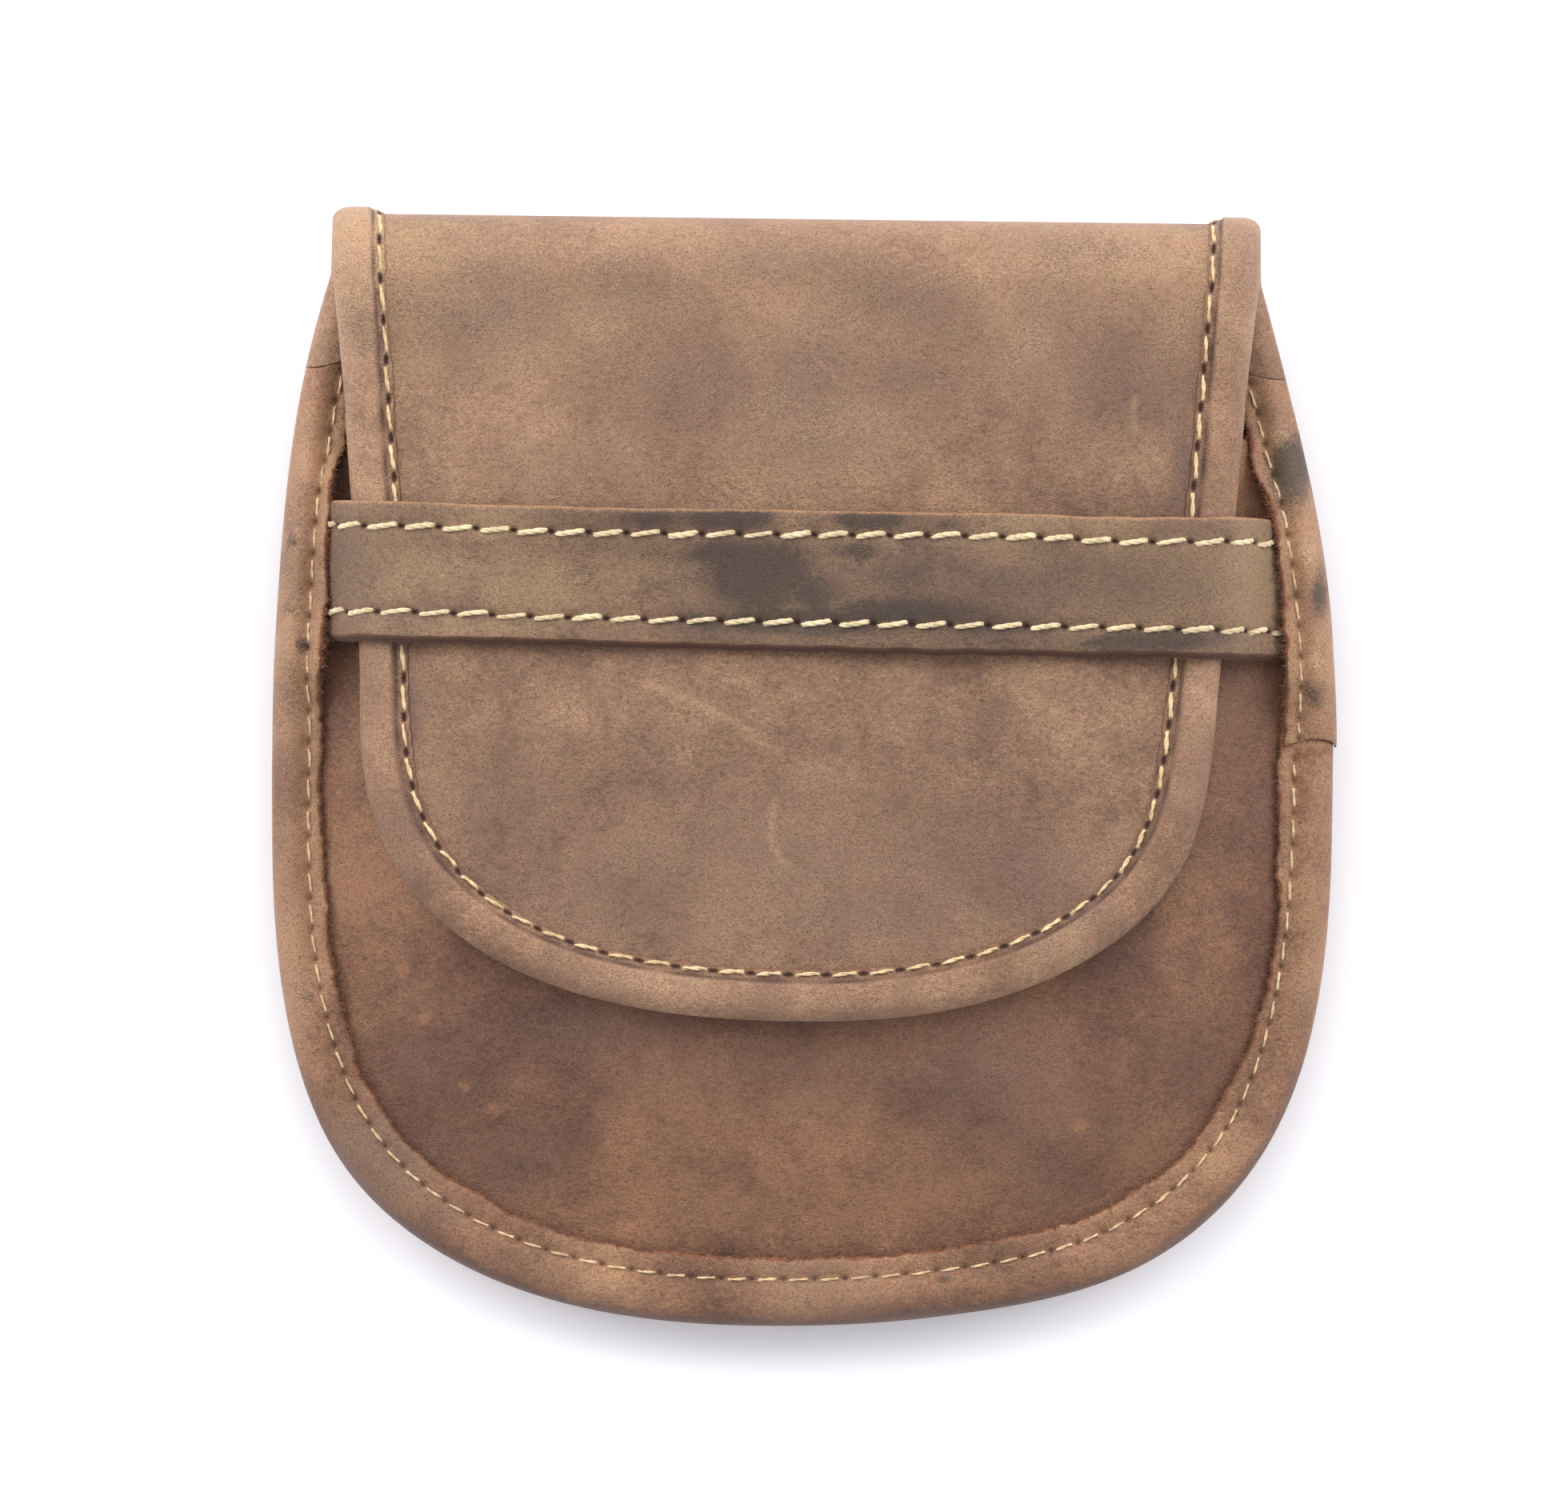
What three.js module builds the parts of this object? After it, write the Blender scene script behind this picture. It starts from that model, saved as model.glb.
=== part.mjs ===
import * as THREE from "three";

// Sizes are in millimetres: X runs across, Y towards the fold and Z up from the floor.

// Leather thickness of each kind of piece, and the air left between pieces that touch
const PANEL = 1.8;
const BINDING = 1.0;
const STRAP = 1.8;
const LOOP = 2.2;
const GAP = 0.35;

// Outline of the pocket and of the flap, each to the outside of its binding
const BODY = { half: 70, widestY: 6, tipY: -73.8, sidePower: 2.6, tipPower: 3.5 };
const BODY_TOP_HALF = 60.9;
const BODY_TOP_Y = 66;
const FLAP = { half: 56.5, widestY: 10, tipY: -33.6, sidePower: 2.35, tipPower: 2.65 };
const FLAP_TOP_HALF = 61.5;
const FLAP_TOP_Y = 70;
const FLAP_FLARE = 1.35;
const FLAP_OFFSET_X = -1.7;
const OFFSET_FROM_Y = 15;
const OFFSET_TO_Y = 60;
const EDGE_INSET = 2.7;

// Heights: belt space under the back, round fold, bulge of the front, room for the flap's binding
const BELT_SPACE = 5;
const BACK_Z = LOOP + BELT_SPACE;
const FOLD_RADIUS = 7;
const FOLD_LENGTH = Math.PI * FOLD_RADIUS;
const FOLD_AXIS_Y = 64.4;
const FRONT_DEPTH = 8;
const FRONT_SIDE_RISE = 28;
const FRONT_FOOT_RISE = 46;
const FLAP_ROOM = 2;
const FLAP_DRAPE_Y = 34;
const SEAM_TOP_Y = 53;
const FRONT_TOP_Y = 51;

// How the soft body lies: the foot sinks, the sides are pulled up by the strap
const FOOT_SINK = 3;
const FOOT_SINK_Y = -30;
const SIDE_LIFT = 2;
const SIDE_LIFT_X = 40;
const SIDE_LIFT_SPAN = 50;

// Bindings: visible width, depth of the bend, and the lapped joint on the right
const SEAM_WIDTH_SIDE = 6.8;
const SEAM_WIDTH_FOOT = 9;
const SEAM_WIDE_Y = -68;
const SEAM_NARROW_Y = -20;
const SEAM_ROOM = 0.45;
const SEAM_BEND = 2.6;
const SEAM_STRAP_NARROWING = 1.1;
const FLAP_BINDING_WIDTH = 5.8;
const FLAP_BINDING_BEND = 2.4;
const JOINT_Y = 3.4;
const JOINT_PROUD = 0.6;
const JOINT_LENGTH = 14;

// Closing strap
const STRAP_Y = 24.6;
const STRAP_HALF_WIDTH = 9.15;
const STRAP_END_INSET = 3;
const STRAP_ROOM = 0.5;
const STRAP_BEND_ROOM = 1.2;
const STRAP_SETTLE = 13;
const STRAP_LIFT_FULL = 11.5;
const STRAP_LIFT_NONE = 18;

// Belt loop: tabs on the back and a flat run on the floor
const LOOP_HALF_WIDTH = 22;
const LOOP_TAB = 10;
const LOOP_BEND = 7;
const LOOP_FROM_Y = -32;
const LOOP_TO_Y = 48;

// Middle of the whole in X, which becomes the origin
const MIDDLE_X = 0.3;

// Fineness of the faceting
const BODY_ROWS = 24;
const SEAM_ROWS = 34;
const FLAP_ROWS = 20;
const FLAP_EDGE_ROWS = 28;
const RISE_STEPS = 2;
const FOLD_STEPS = 6;
const PANEL_CELLS = 12;
const BEND_STEPS = 5;
const STRAP_ROWS = 38;
const LOOP_STEPS = 4;
const FIRST_ANGLE = 0.04;

const { lerp, smoothstep, clamp } = THREE.MathUtils;

// Outlines
function roundHalf(shape, y, inset) {
  const depth = shape.widestY - shape.tipY - inset;
  const share = clamp((shape.widestY - y) / depth, 0, 1);
  return (shape.half - inset) * Math.pow(1 - Math.pow(share, shape.tipPower), 1 / shape.sidePower);
}

function roundPoint(shape, angle, inset) {
  const depth = shape.widestY - shape.tipY - inset;
  const half = (shape.half - inset) * Math.pow(Math.sin(angle), 2 / shape.sidePower);
  return new THREE.Vector2(half, shape.widestY - depth * Math.pow(Math.cos(angle), 2 / shape.tipPower));
}

function bodyHalf(y, inset) {
  const share = clamp((y - BODY.widestY) / (BODY_TOP_Y - BODY.widestY), 0, 1);
  return roundHalf(BODY, y, inset) - (BODY.half - BODY_TOP_HALF) * share * share;
}

function flapHalf(y, inset) {
  const share = clamp((y - FLAP.widestY) / (FLAP_TOP_Y - FLAP.widestY), 0, 1);
  return roundHalf(FLAP, y, inset) + (FLAP_TOP_HALF - FLAP.half) * Math.pow(share, FLAP_FLARE);
}

function bodyFootY(x) {
  const share = clamp(Math.abs(x) / BODY.half, 0, 1);
  const depth = BODY.widestY - BODY.tipY;
  return BODY.widestY - depth * Math.pow(1 - Math.pow(share, BODY.sidePower), 1 / BODY.tipPower);
}

function bodyAxis(y) {
  return FLAP_OFFSET_X * smoothstep(y, OFFSET_FROM_Y, OFFSET_TO_Y);
}

class HalfOutline extends THREE.Curve {
  constructor(shape, halfAt, inset, topY) {
    super();
    this.shape = shape;
    this.halfAt = halfAt;
    this.inset = inset;
    this.topY = topY;
  }

  getPoint(t) {
    if (t < 0.6) {
      return roundPoint(this.shape, lerp(FIRST_ANGLE, Math.PI / 2, t / 0.6), this.inset);
    }
    const y = lerp(this.shape.widestY, this.topY, (t - 0.6) / 0.4);
    return new THREE.Vector2(this.halfAt(y, this.inset), y);
  }
}

function bodyRows(inset, topY, count) {
  return new HalfOutline(BODY, bodyHalf, inset, topY).getSpacedPoints(count);
}

function flapRows(inset, count) {
  return new HalfOutline(FLAP, flapHalf, inset, FOLD_AXIS_Y).getSpacedPoints(count);
}

// Visible width of the seam binding, less where the strap goes under it
function seamWidthFree(y) {
  return lerp(SEAM_WIDTH_FOOT, SEAM_WIDTH_SIDE, smoothstep(y, SEAM_WIDE_Y, SEAM_NARROW_Y));
}

function strapNear(y) {
  return 1 - smoothstep(Math.abs(y - STRAP_Y), STRAP_LIFT_FULL, STRAP_LIFT_NONE);
}

function seamWidth(y) {
  return seamWidthFree(y) - SEAM_STRAP_NARROWING * strapNear(y);
}

// Heights of the middle of each layer
function ease(t) {
  const rest = 1 - clamp(t, 0, 1);
  return 1 - rest * rest;
}

function restWarp(x, y) {
  const sink = clamp((FOOT_SINK_Y - y) / (FOOT_SINK_Y - BODY.tipY), 0, 1);
  const out = clamp((Math.abs(x) - SIDE_LIFT_X) / (BODY.half - SIDE_LIFT_X), 0, 1);
  const along = clamp(1 - Math.pow((y - STRAP_Y) / SIDE_LIFT_SPAN, 2), 0, 1);
  return SIDE_LIFT * out * out * along - FOOT_SINK * sink * sink;
}

// Distance from the outside of the seam, true near it and larger than true towards the middle
function seamDistance(x, y) {
  const half = y < BODY.widestY ? BODY.half : bodyHalf(y, 0);
  const depth = BODY.widestY - BODY.tipY;
  const across = Math.abs(x - bodyAxis(y)) / half;
  const down = clamp((BODY.widestY - y) / depth, 0, 1);
  const slopeX = (BODY.sidePower * Math.pow(across, BODY.sidePower - 1)) / half;
  const slopeY = (BODY.tipPower * Math.pow(down, BODY.tipPower - 1)) / depth;
  const inside = 1 - Math.pow(across, BODY.sidePower) - Math.pow(down, BODY.tipPower);
  return inside / Math.hypot(slopeX, slopeY);
}

function frontRise(x, y) {
  const side = seamDistance(x, y) - seamWidthFree(y) - GAP;
  const foot = y - bodyFootY(x) - SEAM_WIDTH_FOOT;
  return FRONT_DEPTH * ease(side / FRONT_SIDE_RISE) * ease(foot / FRONT_FOOT_RISE);
}

function backMid(x, y) {
  return BACK_Z + PANEL / 2 + restWarp(x, y);
}

function frontMid(x, y) {
  return backMid(x, y) + PANEL + GAP + frontRise(x, y);
}

function flapMid(x, y) {
  const draped = frontMid(x, y) + PANEL + FLAP_ROOM;
  const folded = backMid(x, FOLD_AXIS_Y) + 2 * FOLD_RADIUS;
  return lerp(draped, folded, smoothstep(y, FLAP_DRAPE_Y, FOLD_AXIS_Y));
}

// The cut pattern of the back and flap: s runs up the back, round the fold and down the flap
function flapY(s) {
  return FOLD_AXIS_Y - (s - FOLD_LENGTH);
}

function patternHalf(s, inset) {
  if (s <= 0) {
    return bodyHalf(FOLD_AXIS_Y + s, inset);
  }
  if (s >= FOLD_LENGTH) {
    return flapHalf(flapY(s), inset);
  }
  return lerp(bodyHalf(FOLD_AXIS_Y, inset), flapHalf(FOLD_AXIS_Y, inset), s / FOLD_LENGTH);
}

function patternAxis(s) {
  return s <= 0 ? bodyAxis(FOLD_AXIS_Y + s) : FLAP_OFFSET_X;
}

function patternPoint(x, s) {
  if (s <= 0) {
    return new THREE.Vector3(x, FOLD_AXIS_Y + s, backMid(x, FOLD_AXIS_Y + s));
  }
  if (s >= FOLD_LENGTH) {
    return new THREE.Vector3(x, flapY(s), flapMid(x, flapY(s)));
  }
  const angle = s / FOLD_RADIUS;
  const turned = (1 - Math.cos(angle)) / 2;
  const z = lerp(backMid(x, FOLD_AXIS_Y), flapMid(x, FOLD_AXIS_Y), turned);
  return new THREE.Vector3(x, FOLD_AXIS_Y + FOLD_RADIUS * Math.sin(angle), z);
}

function patternNormal(x, s) {
  const step = 0.2;
  const across = patternPoint(x + step, s).sub(patternPoint(x - step, s));
  const along = patternPoint(x, s + step).sub(patternPoint(x, s - step));
  return across.cross(along).normalize();
}

// Solids
function shell(top, bottom) {
  const rows = top.length;
  const columns = top[0].length;
  const points = [...top.flat(), ...bottom.flat()];
  const below = rows * columns;
  const index = [];
  const quad = (a, b, c, d) => index.push(a, b, c, a, c, d);
  for (let i = 0; i < rows - 1; i += 1) {
    for (let j = 0; j < columns - 1; j += 1) {
      const a = i * columns + j;
      const b = a + columns;
      if (j < (columns - 1) / 2) {
        quad(a + 1, b + 1, b, a);
        quad(below + a + 1, below + a, below + b, below + b + 1);
      } else {
        quad(a, a + 1, b + 1, b);
        quad(below + a, below + b, below + b + 1, below + a + 1);
      }
    }
    const left = i * columns;
    const right = left + columns - 1;
    quad(left, left + columns, below + left + columns, below + left);
    quad(right, below + right, below + right + columns, right + columns);
  }
  for (let j = 0; j < columns - 1; j += 1) {
    const last = (rows - 1) * columns + j;
    quad(j, below + j, below + j + 1, j + 1);
    quad(last, last + 1, below + last + 1, below + last);
  }
  const geometry = new THREE.BufferGeometry().setFromPoints(points);
  geometry.setIndex(turnOutward(points, index));
  geometry.computeVertexNormals();
  return geometry;
}

function turnOutward(points, index) {
  let volume = 0;
  for (let k = 0; k < index.length; k += 3) {
    const [a, b, c] = [points[index[k]], points[index[k + 1]], points[index[k + 2]]];
    volume += a.dot(new THREE.Vector3().crossVectors(b, c));
  }
  return volume > 0 ? index : index.reverse();
}

function gridNormal(grid, i, j) {
  const rowA = grid[Math.max(i - 1, 0)][j];
  const rowB = grid[Math.min(i + 1, grid.length - 1)][j];
  const columnA = grid[i][Math.max(j - 1, 0)];
  const columnB = grid[i][Math.min(j + 1, grid[i].length - 1)];
  const across = new THREE.Vector3().subVectors(columnB, columnA);
  return across.cross(new THREE.Vector3().subVectors(rowB, rowA)).normalize();
}

function sheet(grid, thickness) {
  const offset = (distance) =>
    grid.map((row, i) =>
      row.map((point, j) => point.clone().addScaledVector(gridNormal(grid, i, j), distance)),
    );
  return shell(offset(thickness / 2), offset(-thickness / 2));
}

function columnsOf(half, edge) {
  const inner = half - Math.min(edge, half / 4);
  const columns = [-half];
  for (let j = 0; j <= PANEL_CELLS; j += 1) {
    columns.push(lerp(-inner, inner, j / PANEL_CELLS));
  }
  columns.push(half);
  return columns;
}

function bindingSection(width, bend, skin) {
  const legs = [width, (width + bend) / 2];
  const section = legs.map((depth) => ({ depth, side: 1 }));
  for (let k = 0; k <= BEND_STEPS; k += 1) {
    const angle = lerp(Math.PI / 2, -Math.PI / 2, k / BEND_STEPS);
    section.push({ depth: bend - (bend - skin) * Math.cos(angle), side: Math.sin(angle) });
  }
  return [...section, ...legs.reverse().map((depth) => ({ depth, side: -1 }))];
}

// Inward directions along an open run of flat points
function inwardOf(run, i) {
  const before = run[Math.max(i - 1, 0)];
  const after = run[Math.min(i + 1, run.length - 1)];
  const along = new THREE.Vector2().subVectors(after, before).normalize();
  return new THREE.Vector2(-along.y, along.x);
}

// Pieces
function backAndFlap() {
  const rows = bodyRows(EDGE_INSET, FOLD_AXIS_Y, BODY_ROWS).map((p) => p.y - FOLD_AXIS_Y);
  for (let i = 1; i < FOLD_STEPS; i += 1) {
    rows.push((FOLD_LENGTH * i) / FOLD_STEPS);
  }
  for (const p of flapRows(EDGE_INSET, FLAP_ROWS).reverse()) {
    rows.push(FOLD_LENGTH + FOLD_AXIS_Y - p.y);
  }
  const edge = FLAP_BINDING_WIDTH - EDGE_INSET;
  const grid = rows.map((s) =>
    columnsOf(patternHalf(s, EDGE_INSET), edge).map((x) => patternPoint(patternAxis(s) + x, s)),
  );
  return sheet(grid, PANEL);
}

function frontPanel() {
  const edge = SEAM_WIDTH_SIDE - EDGE_INSET;
  const grid = bodyRows(EDGE_INSET, FRONT_TOP_Y, BODY_ROWS).map((p) =>
    columnsOf(p.x, edge).map((x) => {
      const at = bodyAxis(p.y) + x;
      return new THREE.Vector3(at, p.y, frontMid(at, p.y));
    }),
  );
  return sheet(grid, PANEL);
}

function jointProud(y, isShort) {
  return isShort ? JOINT_PROUD * (1 - smoothstep(y, JOINT_Y, JOINT_Y + JOINT_LENGTH)) : 0;
}

function seamBinding(run, isShort) {
  const layer = (skin) =>
    run.map((point, i) => {
      const inward = inwardOf(run, i);
      const proud = jointProud(point.y, isShort);
      return bindingSection(seamWidth(point.y), SEAM_BEND, skin).map(({ depth, side }) => {
        const x = point.x + inward.x * (depth - proud);
        const y = point.y + inward.y * (depth - proud);
        const low = backMid(x, y) - PANEL / 2;
        const high = frontMid(x, y) + PANEL / 2 + (STRAP + STRAP_ROOM) * strapNear(y);
        const reach = (high - low) / 2 + SEAM_ROOM + BINDING - skin + proud;
        return new THREE.Vector3(x, y, (low + high) / 2 + side * reach);
      });
    });
  return shell(layer(0), layer(BINDING));
}

function seamRun(side, fromY, toY) {
  const rows = bodyRows(0, SEAM_TOP_Y, SEAM_ROWS).filter((p) => p.y > fromY && p.y < toY);
  return rows.map((p) => new THREE.Vector2(bodyAxis(p.y) + side * p.x, p.y));
}

function seamEnd(side, y) {
  return new THREE.Vector2(bodyAxis(y) + side * bodyHalf(y, 0), y);
}

function bodyBindingLong() {
  const left = [...seamRun(-1, -Infinity, SEAM_TOP_Y - GAP), seamEnd(-1, SEAM_TOP_Y)].reverse();
  const right = [...seamRun(1, -Infinity, JOINT_Y - 1), seamEnd(1, JOINT_Y - GAP / 2)];
  return seamBinding([...left, ...right], false);
}

function bodyBindingShort() {
  const run = seamRun(1, JOINT_Y + 1, SEAM_TOP_Y - GAP);
  return seamBinding([seamEnd(1, JOINT_Y + GAP / 2), ...run, seamEnd(1, SEAM_TOP_Y)], true);
}

// From the seam on the left of the back, over the fold, round the flap and back on the right
function flapBinding() {
  const levels = [];
  for (let i = 0; i <= RISE_STEPS; i += 1) {
    levels.push(lerp(SEAM_TOP_Y + 2 * GAP - FOLD_AXIS_Y, 0, i / RISE_STEPS));
  }
  for (let i = 1; i < FOLD_STEPS; i += 1) {
    levels.push((FOLD_LENGTH * i) / FOLD_STEPS);
  }
  for (const p of flapRows(0, FLAP_EDGE_ROWS).reverse()) {
    levels.push(FOLD_LENGTH + FOLD_AXIS_Y - p.y);
  }
  const sideRun = (side) =>
    levels.map((s) => new THREE.Vector2(patternAxis(s) + side * patternHalf(s, 0), s));
  const run = [...sideRun(-1), ...sideRun(1).reverse()];
  const layer = (skin) =>
    run.map((point, i) => {
      const inward = inwardOf(run, i).negate();
      return bindingSection(FLAP_BINDING_WIDTH, FLAP_BINDING_BEND, skin).map(({ depth, side }) => {
        const at = point.clone().addScaledVector(inward, depth);
        const reach = side * (PANEL / 2 + GAP + BINDING - skin);
        return patternPoint(at.x, at.y).addScaledVector(patternNormal(at.x, at.y), reach);
      });
    });
  return shell(layer(0), layer(BINDING));
}

// Middle line of the strap from its end under the seam binding to the middle, on one side at one y
function strapKeys(side, y) {
  const seam = bodyHalf(y, 0);
  const edge = flapHalf(y, 0);
  const s = FOLD_LENGTH + FOLD_AXIS_Y - y;
  const onFront = (depth) => {
    const x = bodyAxis(y) + side * (seam - depth);
    return new THREE.Vector3(x, y, frontMid(x, y) + PANEL / 2 + STRAP_ROOM + STRAP / 2);
  };
  const onFlap = (depth, room) => {
    const x = FLAP_OFFSET_X + side * (edge - depth);
    const lift = PANEL / 2 + room + STRAP_ROOM + STRAP / 2;
    return patternPoint(x, s).addScaledVector(patternNormal(x, s), -lift);
  };
  const overBinding = BINDING + GAP;
  const shoulder = onFlap(FLAP_BINDING_BEND, overBinding);
  const clear = FLAP_BINDING_BEND + STRAP_ROOM + STRAP / 2;
  return [
    onFront(STRAP_END_INSET),
    onFront(seamWidth(y) + STRAP_BEND_ROOM),
    shoulder.clone().add(new THREE.Vector3(side * clear * 0.75, 0, -clear * 0.4)),
    shoulder,
    onFlap(FLAP_BINDING_WIDTH, overBinding),
    onFlap(STRAP_SETTLE, 0),
    onFlap(2 * STRAP_SETTLE, 0),
  ];
}

function closingStrap() {
  const columns = [-1, 0, 1].map((v) => {
    const y = STRAP_Y + v * STRAP_HALF_WIDTH;
    const keys = [...strapKeys(-1, y), ...strapKeys(1, y).reverse()];
    return new THREE.CatmullRomCurve3(keys, false, "centripetal").getSpacedPoints(STRAP_ROWS);
  });
  const grid = columns[0].map((point, i) => columns.map((column) => column[i]));
  return sheet(grid, STRAP);
}

function beltLoop() {
  const onBack = BACK_Z - GAP - LOOP / 2;
  const onFloor = LOOP / 2;
  const middleY = (LOOP_FROM_Y + LOOP_TO_Y) / 2;
  const half = [{ y: LOOP_FROM_Y, z: onBack }];
  for (let k = 0; k <= LOOP_STEPS; k += 1) {
    const y = LOOP_FROM_Y + LOOP_TAB + (LOOP_BEND * k) / LOOP_STEPS;
    half.push({ y, z: lerp(onBack, onFloor, smoothstep(k, 0, LOOP_STEPS)) });
  }
  const mirrored = half.map((p) => ({ y: 2 * middleY - p.y, z: p.z })).reverse();
  const layer = (lift) =>
    [...half, ...mirrored].map((p) =>
      [-LOOP_HALF_WIDTH, LOOP_HALF_WIDTH].map((x) => new THREE.Vector3(x, p.y, p.z + lift)),
    );
  return shell(layer(LOOP / 2), layer(-LOOP / 2));
}

const PIECES = [
  { name: "back_and_flap", make: backAndFlap, color: 0x9e7c69 },
  { name: "front_panel", make: frontPanel, color: 0x7c5b4d },
  { name: "body_binding_long", make: bodyBindingLong, color: 0x9d7f6c },
  { name: "body_binding_short", make: bodyBindingShort, color: 0x96785f },
  { name: "flap_binding", make: flapBinding, color: 0xa57f68 },
  { name: "closing_strap", make: closingStrap, color: 0x8b705e },
  { name: "belt_loop", make: beltLoop, color: 0x7a5a47 },
];

const pouch = new THREE.Group();
pouch.name = "leather_cartridge_pouch";
for (const piece of PIECES) {
  const material = new THREE.MeshStandardMaterial({ color: piece.color, roughness: 0.7, metalness: 0 });
  material.name = piece.name;
  const mesh = new THREE.Mesh(piece.make().translate(-MIDDLE_X, 0, 0), material);
  mesh.name = piece.name;
  pouch.add(mesh);
}

export default pouch;
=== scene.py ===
import math

import bpy
import numpy as np
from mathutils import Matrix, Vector
from mathutils.geometry import delaunay_2d_cdt


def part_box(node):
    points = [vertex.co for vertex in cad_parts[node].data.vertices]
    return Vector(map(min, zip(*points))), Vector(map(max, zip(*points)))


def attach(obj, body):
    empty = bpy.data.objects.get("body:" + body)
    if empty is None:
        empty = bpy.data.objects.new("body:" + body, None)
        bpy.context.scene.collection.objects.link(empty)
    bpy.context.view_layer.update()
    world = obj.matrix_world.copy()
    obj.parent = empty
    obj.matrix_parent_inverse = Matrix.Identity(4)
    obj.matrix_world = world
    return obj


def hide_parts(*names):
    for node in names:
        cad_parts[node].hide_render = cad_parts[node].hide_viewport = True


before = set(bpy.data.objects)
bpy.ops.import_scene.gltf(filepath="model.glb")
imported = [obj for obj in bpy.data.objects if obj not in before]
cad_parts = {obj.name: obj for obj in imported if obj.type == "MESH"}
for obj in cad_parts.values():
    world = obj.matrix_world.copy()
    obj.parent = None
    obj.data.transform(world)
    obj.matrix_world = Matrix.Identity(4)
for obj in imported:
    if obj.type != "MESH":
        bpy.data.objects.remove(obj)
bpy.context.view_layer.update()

# Sizes are in millimetres in the part's own frame and become metres in the row frame at the end.

# Leather thickness and the air between pieces, as in the part
PANEL = 1.8
BINDING = 1.0
STRAP = 1.8
LOOP = 2.2
GAP = 0.35

# Outlines, as in the part
BODY = {"half": 70.0, "widest": 6.0, "tip": -73.8, "side": 2.6, "power": 3.5}
BODY_TOP_HALF = 60.9
BODY_TOP_Y = 66.0
FLAP = {"half": 56.5, "widest": 10.0, "tip": -33.6, "side": 2.35, "power": 2.65}
FLAP_TOP_HALF = 61.5
FLAP_TOP_Y = 70.0
FLAP_FLARE = 1.35
FLAP_OFFSET_X = -1.7
OFFSET_FROM_Y = 15.0
OFFSET_TO_Y = 60.0
EDGE_INSET = 2.7

# Heights, as in the part
BACK_Z = LOOP + 5.0
FOLD_RADIUS = 7.0
FOLD_LENGTH = math.pi * FOLD_RADIUS
FOLD_Y = 64.4
FRONT_DEPTH = 8.0
FRONT_SIDE_RISE = 28.0
FRONT_FOOT_RISE = 46.0
FLAP_ROOM = 2.0
FLAP_DRAPE_Y = 34.0
FRONT_TOP_Y = 51.0
FOOT_SINK = 3.0
FOOT_SINK_Y = -30.0
SIDE_LIFT = 2.0
SIDE_LIFT_X = 40.0
SIDE_LIFT_SPAN = 50.0

# Bindings, strap and belt loop, as in the part
SEAM_WIDTH_SIDE = 6.8
SEAM_WIDTH_FOOT = 9.0
SEAM_WIDE_Y = -68.0
SEAM_NARROW_Y = -20.0
SEAM_ROOM = 0.45
SEAM_BEND = 2.6
SEAM_STRAP_NARROWING = 1.1
FLAP_BINDING_WIDTH = 5.8
FLAP_BINDING_BEND = 2.4
JOINT_Y = 3.4
JOINT_LENGTH = 14.0
STRAP_Y = 24.6
STRAP_HALF_WIDTH = 9.15
STRAP_END_INSET = 3.0
STRAP_ROOM = 0.5
STRAP_BEND_ROOM = -0.4
STRAP_SETTLE = 13.0
STRAP_LIFT_FULL = 11.5
STRAP_LIFT_NONE = 18.0
LOOP_HALF_WIDTH = 22.0
LOOP_TAB = 10.0
LOOP_BEND = 7.0
LOOP_FROM_Y = -32.0
LOOP_TO_Y = 48.0

# Details that only this scene has
BEND_ARC = 4.6
FLAP_BEND_ARC = 3.4
FLANGE_END = 6.7
FLANGE = 0.4
FLAP_STITCH_DEPTH = 6.15
FLAP_ROLL_END = (4.95, 5.3)
SEAM_STITCH_SIDE = 4.9
SEAM_STITCH_FOOT = 6.2
LAP = 3.6
JOINT_SHIFT = 0.3
LAP_DEPTH = 0.6
LAP_SKIVE = 2.5
JOINT_TIP = 0.4
JOINT_STEP = 0.45
SEAM_RUN_TOP_Y = 56.4
SEAM_CLOSE_Y = (44.0, 51.5)
SEAM_CUT = 0.45
SEAM_PRESS = 0.12
SEAM_LIP = 1.75
BUTT_FROM_Y = 49.0
FLAP_RUN_FROM_Y = 51.9
FLAP_RUN_SLANT = 3.4
FLAP_SLANT_AT = 7.35
FLAP_FOLD_THINNING = 0.45
FRONT_CORNER_DROP = 7.0
STRAP_TOP_ROW = STRAP_HALF_WIDTH - 3.1
STRAP_LOW_ROW = -STRAP_HALF_WIDTH + 3.7
STRAP_TILT = 0.008
STRAP_CUT = 0.65
STRAP_OVER_FLAP = 0.12
STRAP_SHOULDER_OUT = (0.58, 0.05)
STRAP_SHOULDER_DOWN = (0.56, 0.04)
STRAP_HOLES_FROM = 1.0
SEAM_NARROW_LOW = 0.3
SEAM_NARROW_RISE = (20.0, 33.0)
STITCH_STRAP_RISE = 0.5
FRONT_WAVE = 0.3
FLAP_WAVE = 0.16
FLAP_WAVE_FROM = 16.0
SEAM_DENT = 0.45
FLAP_STITCH_DENT = 0.2
STRAP_DENT = 0.5
LOOP_DENT = 0.5
SEAM_FIBRES_PER_MM = 20
SEAM_FIBRE_CLEAR = 5.0
STRAP_FIBRES = 900
STRAP_FIBRE_CLEAR = 4.0

# Where the seam's stitches run further in, at the lower right: centre, spread and depth
STITCH_DIP_AT = (64.0, -28.0)
STITCH_DIP_SPREAD = (14.0, 18.0)
STITCH_DIP = 0.7

# The photograph's pixels in the part's frame, for the places of stains and scratches
PHOTO_MM = 140 / 1327
PHOTO_CENTRE = (1006.5, 962.5)
PHOTO_TURN = math.radians(0.7)
PHOTO_SHIFT = (0.3, -0.25)


# Small mathematics
def clamp(v, low=0.0, high=1.0):
    return np.clip(v, low, high)


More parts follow.
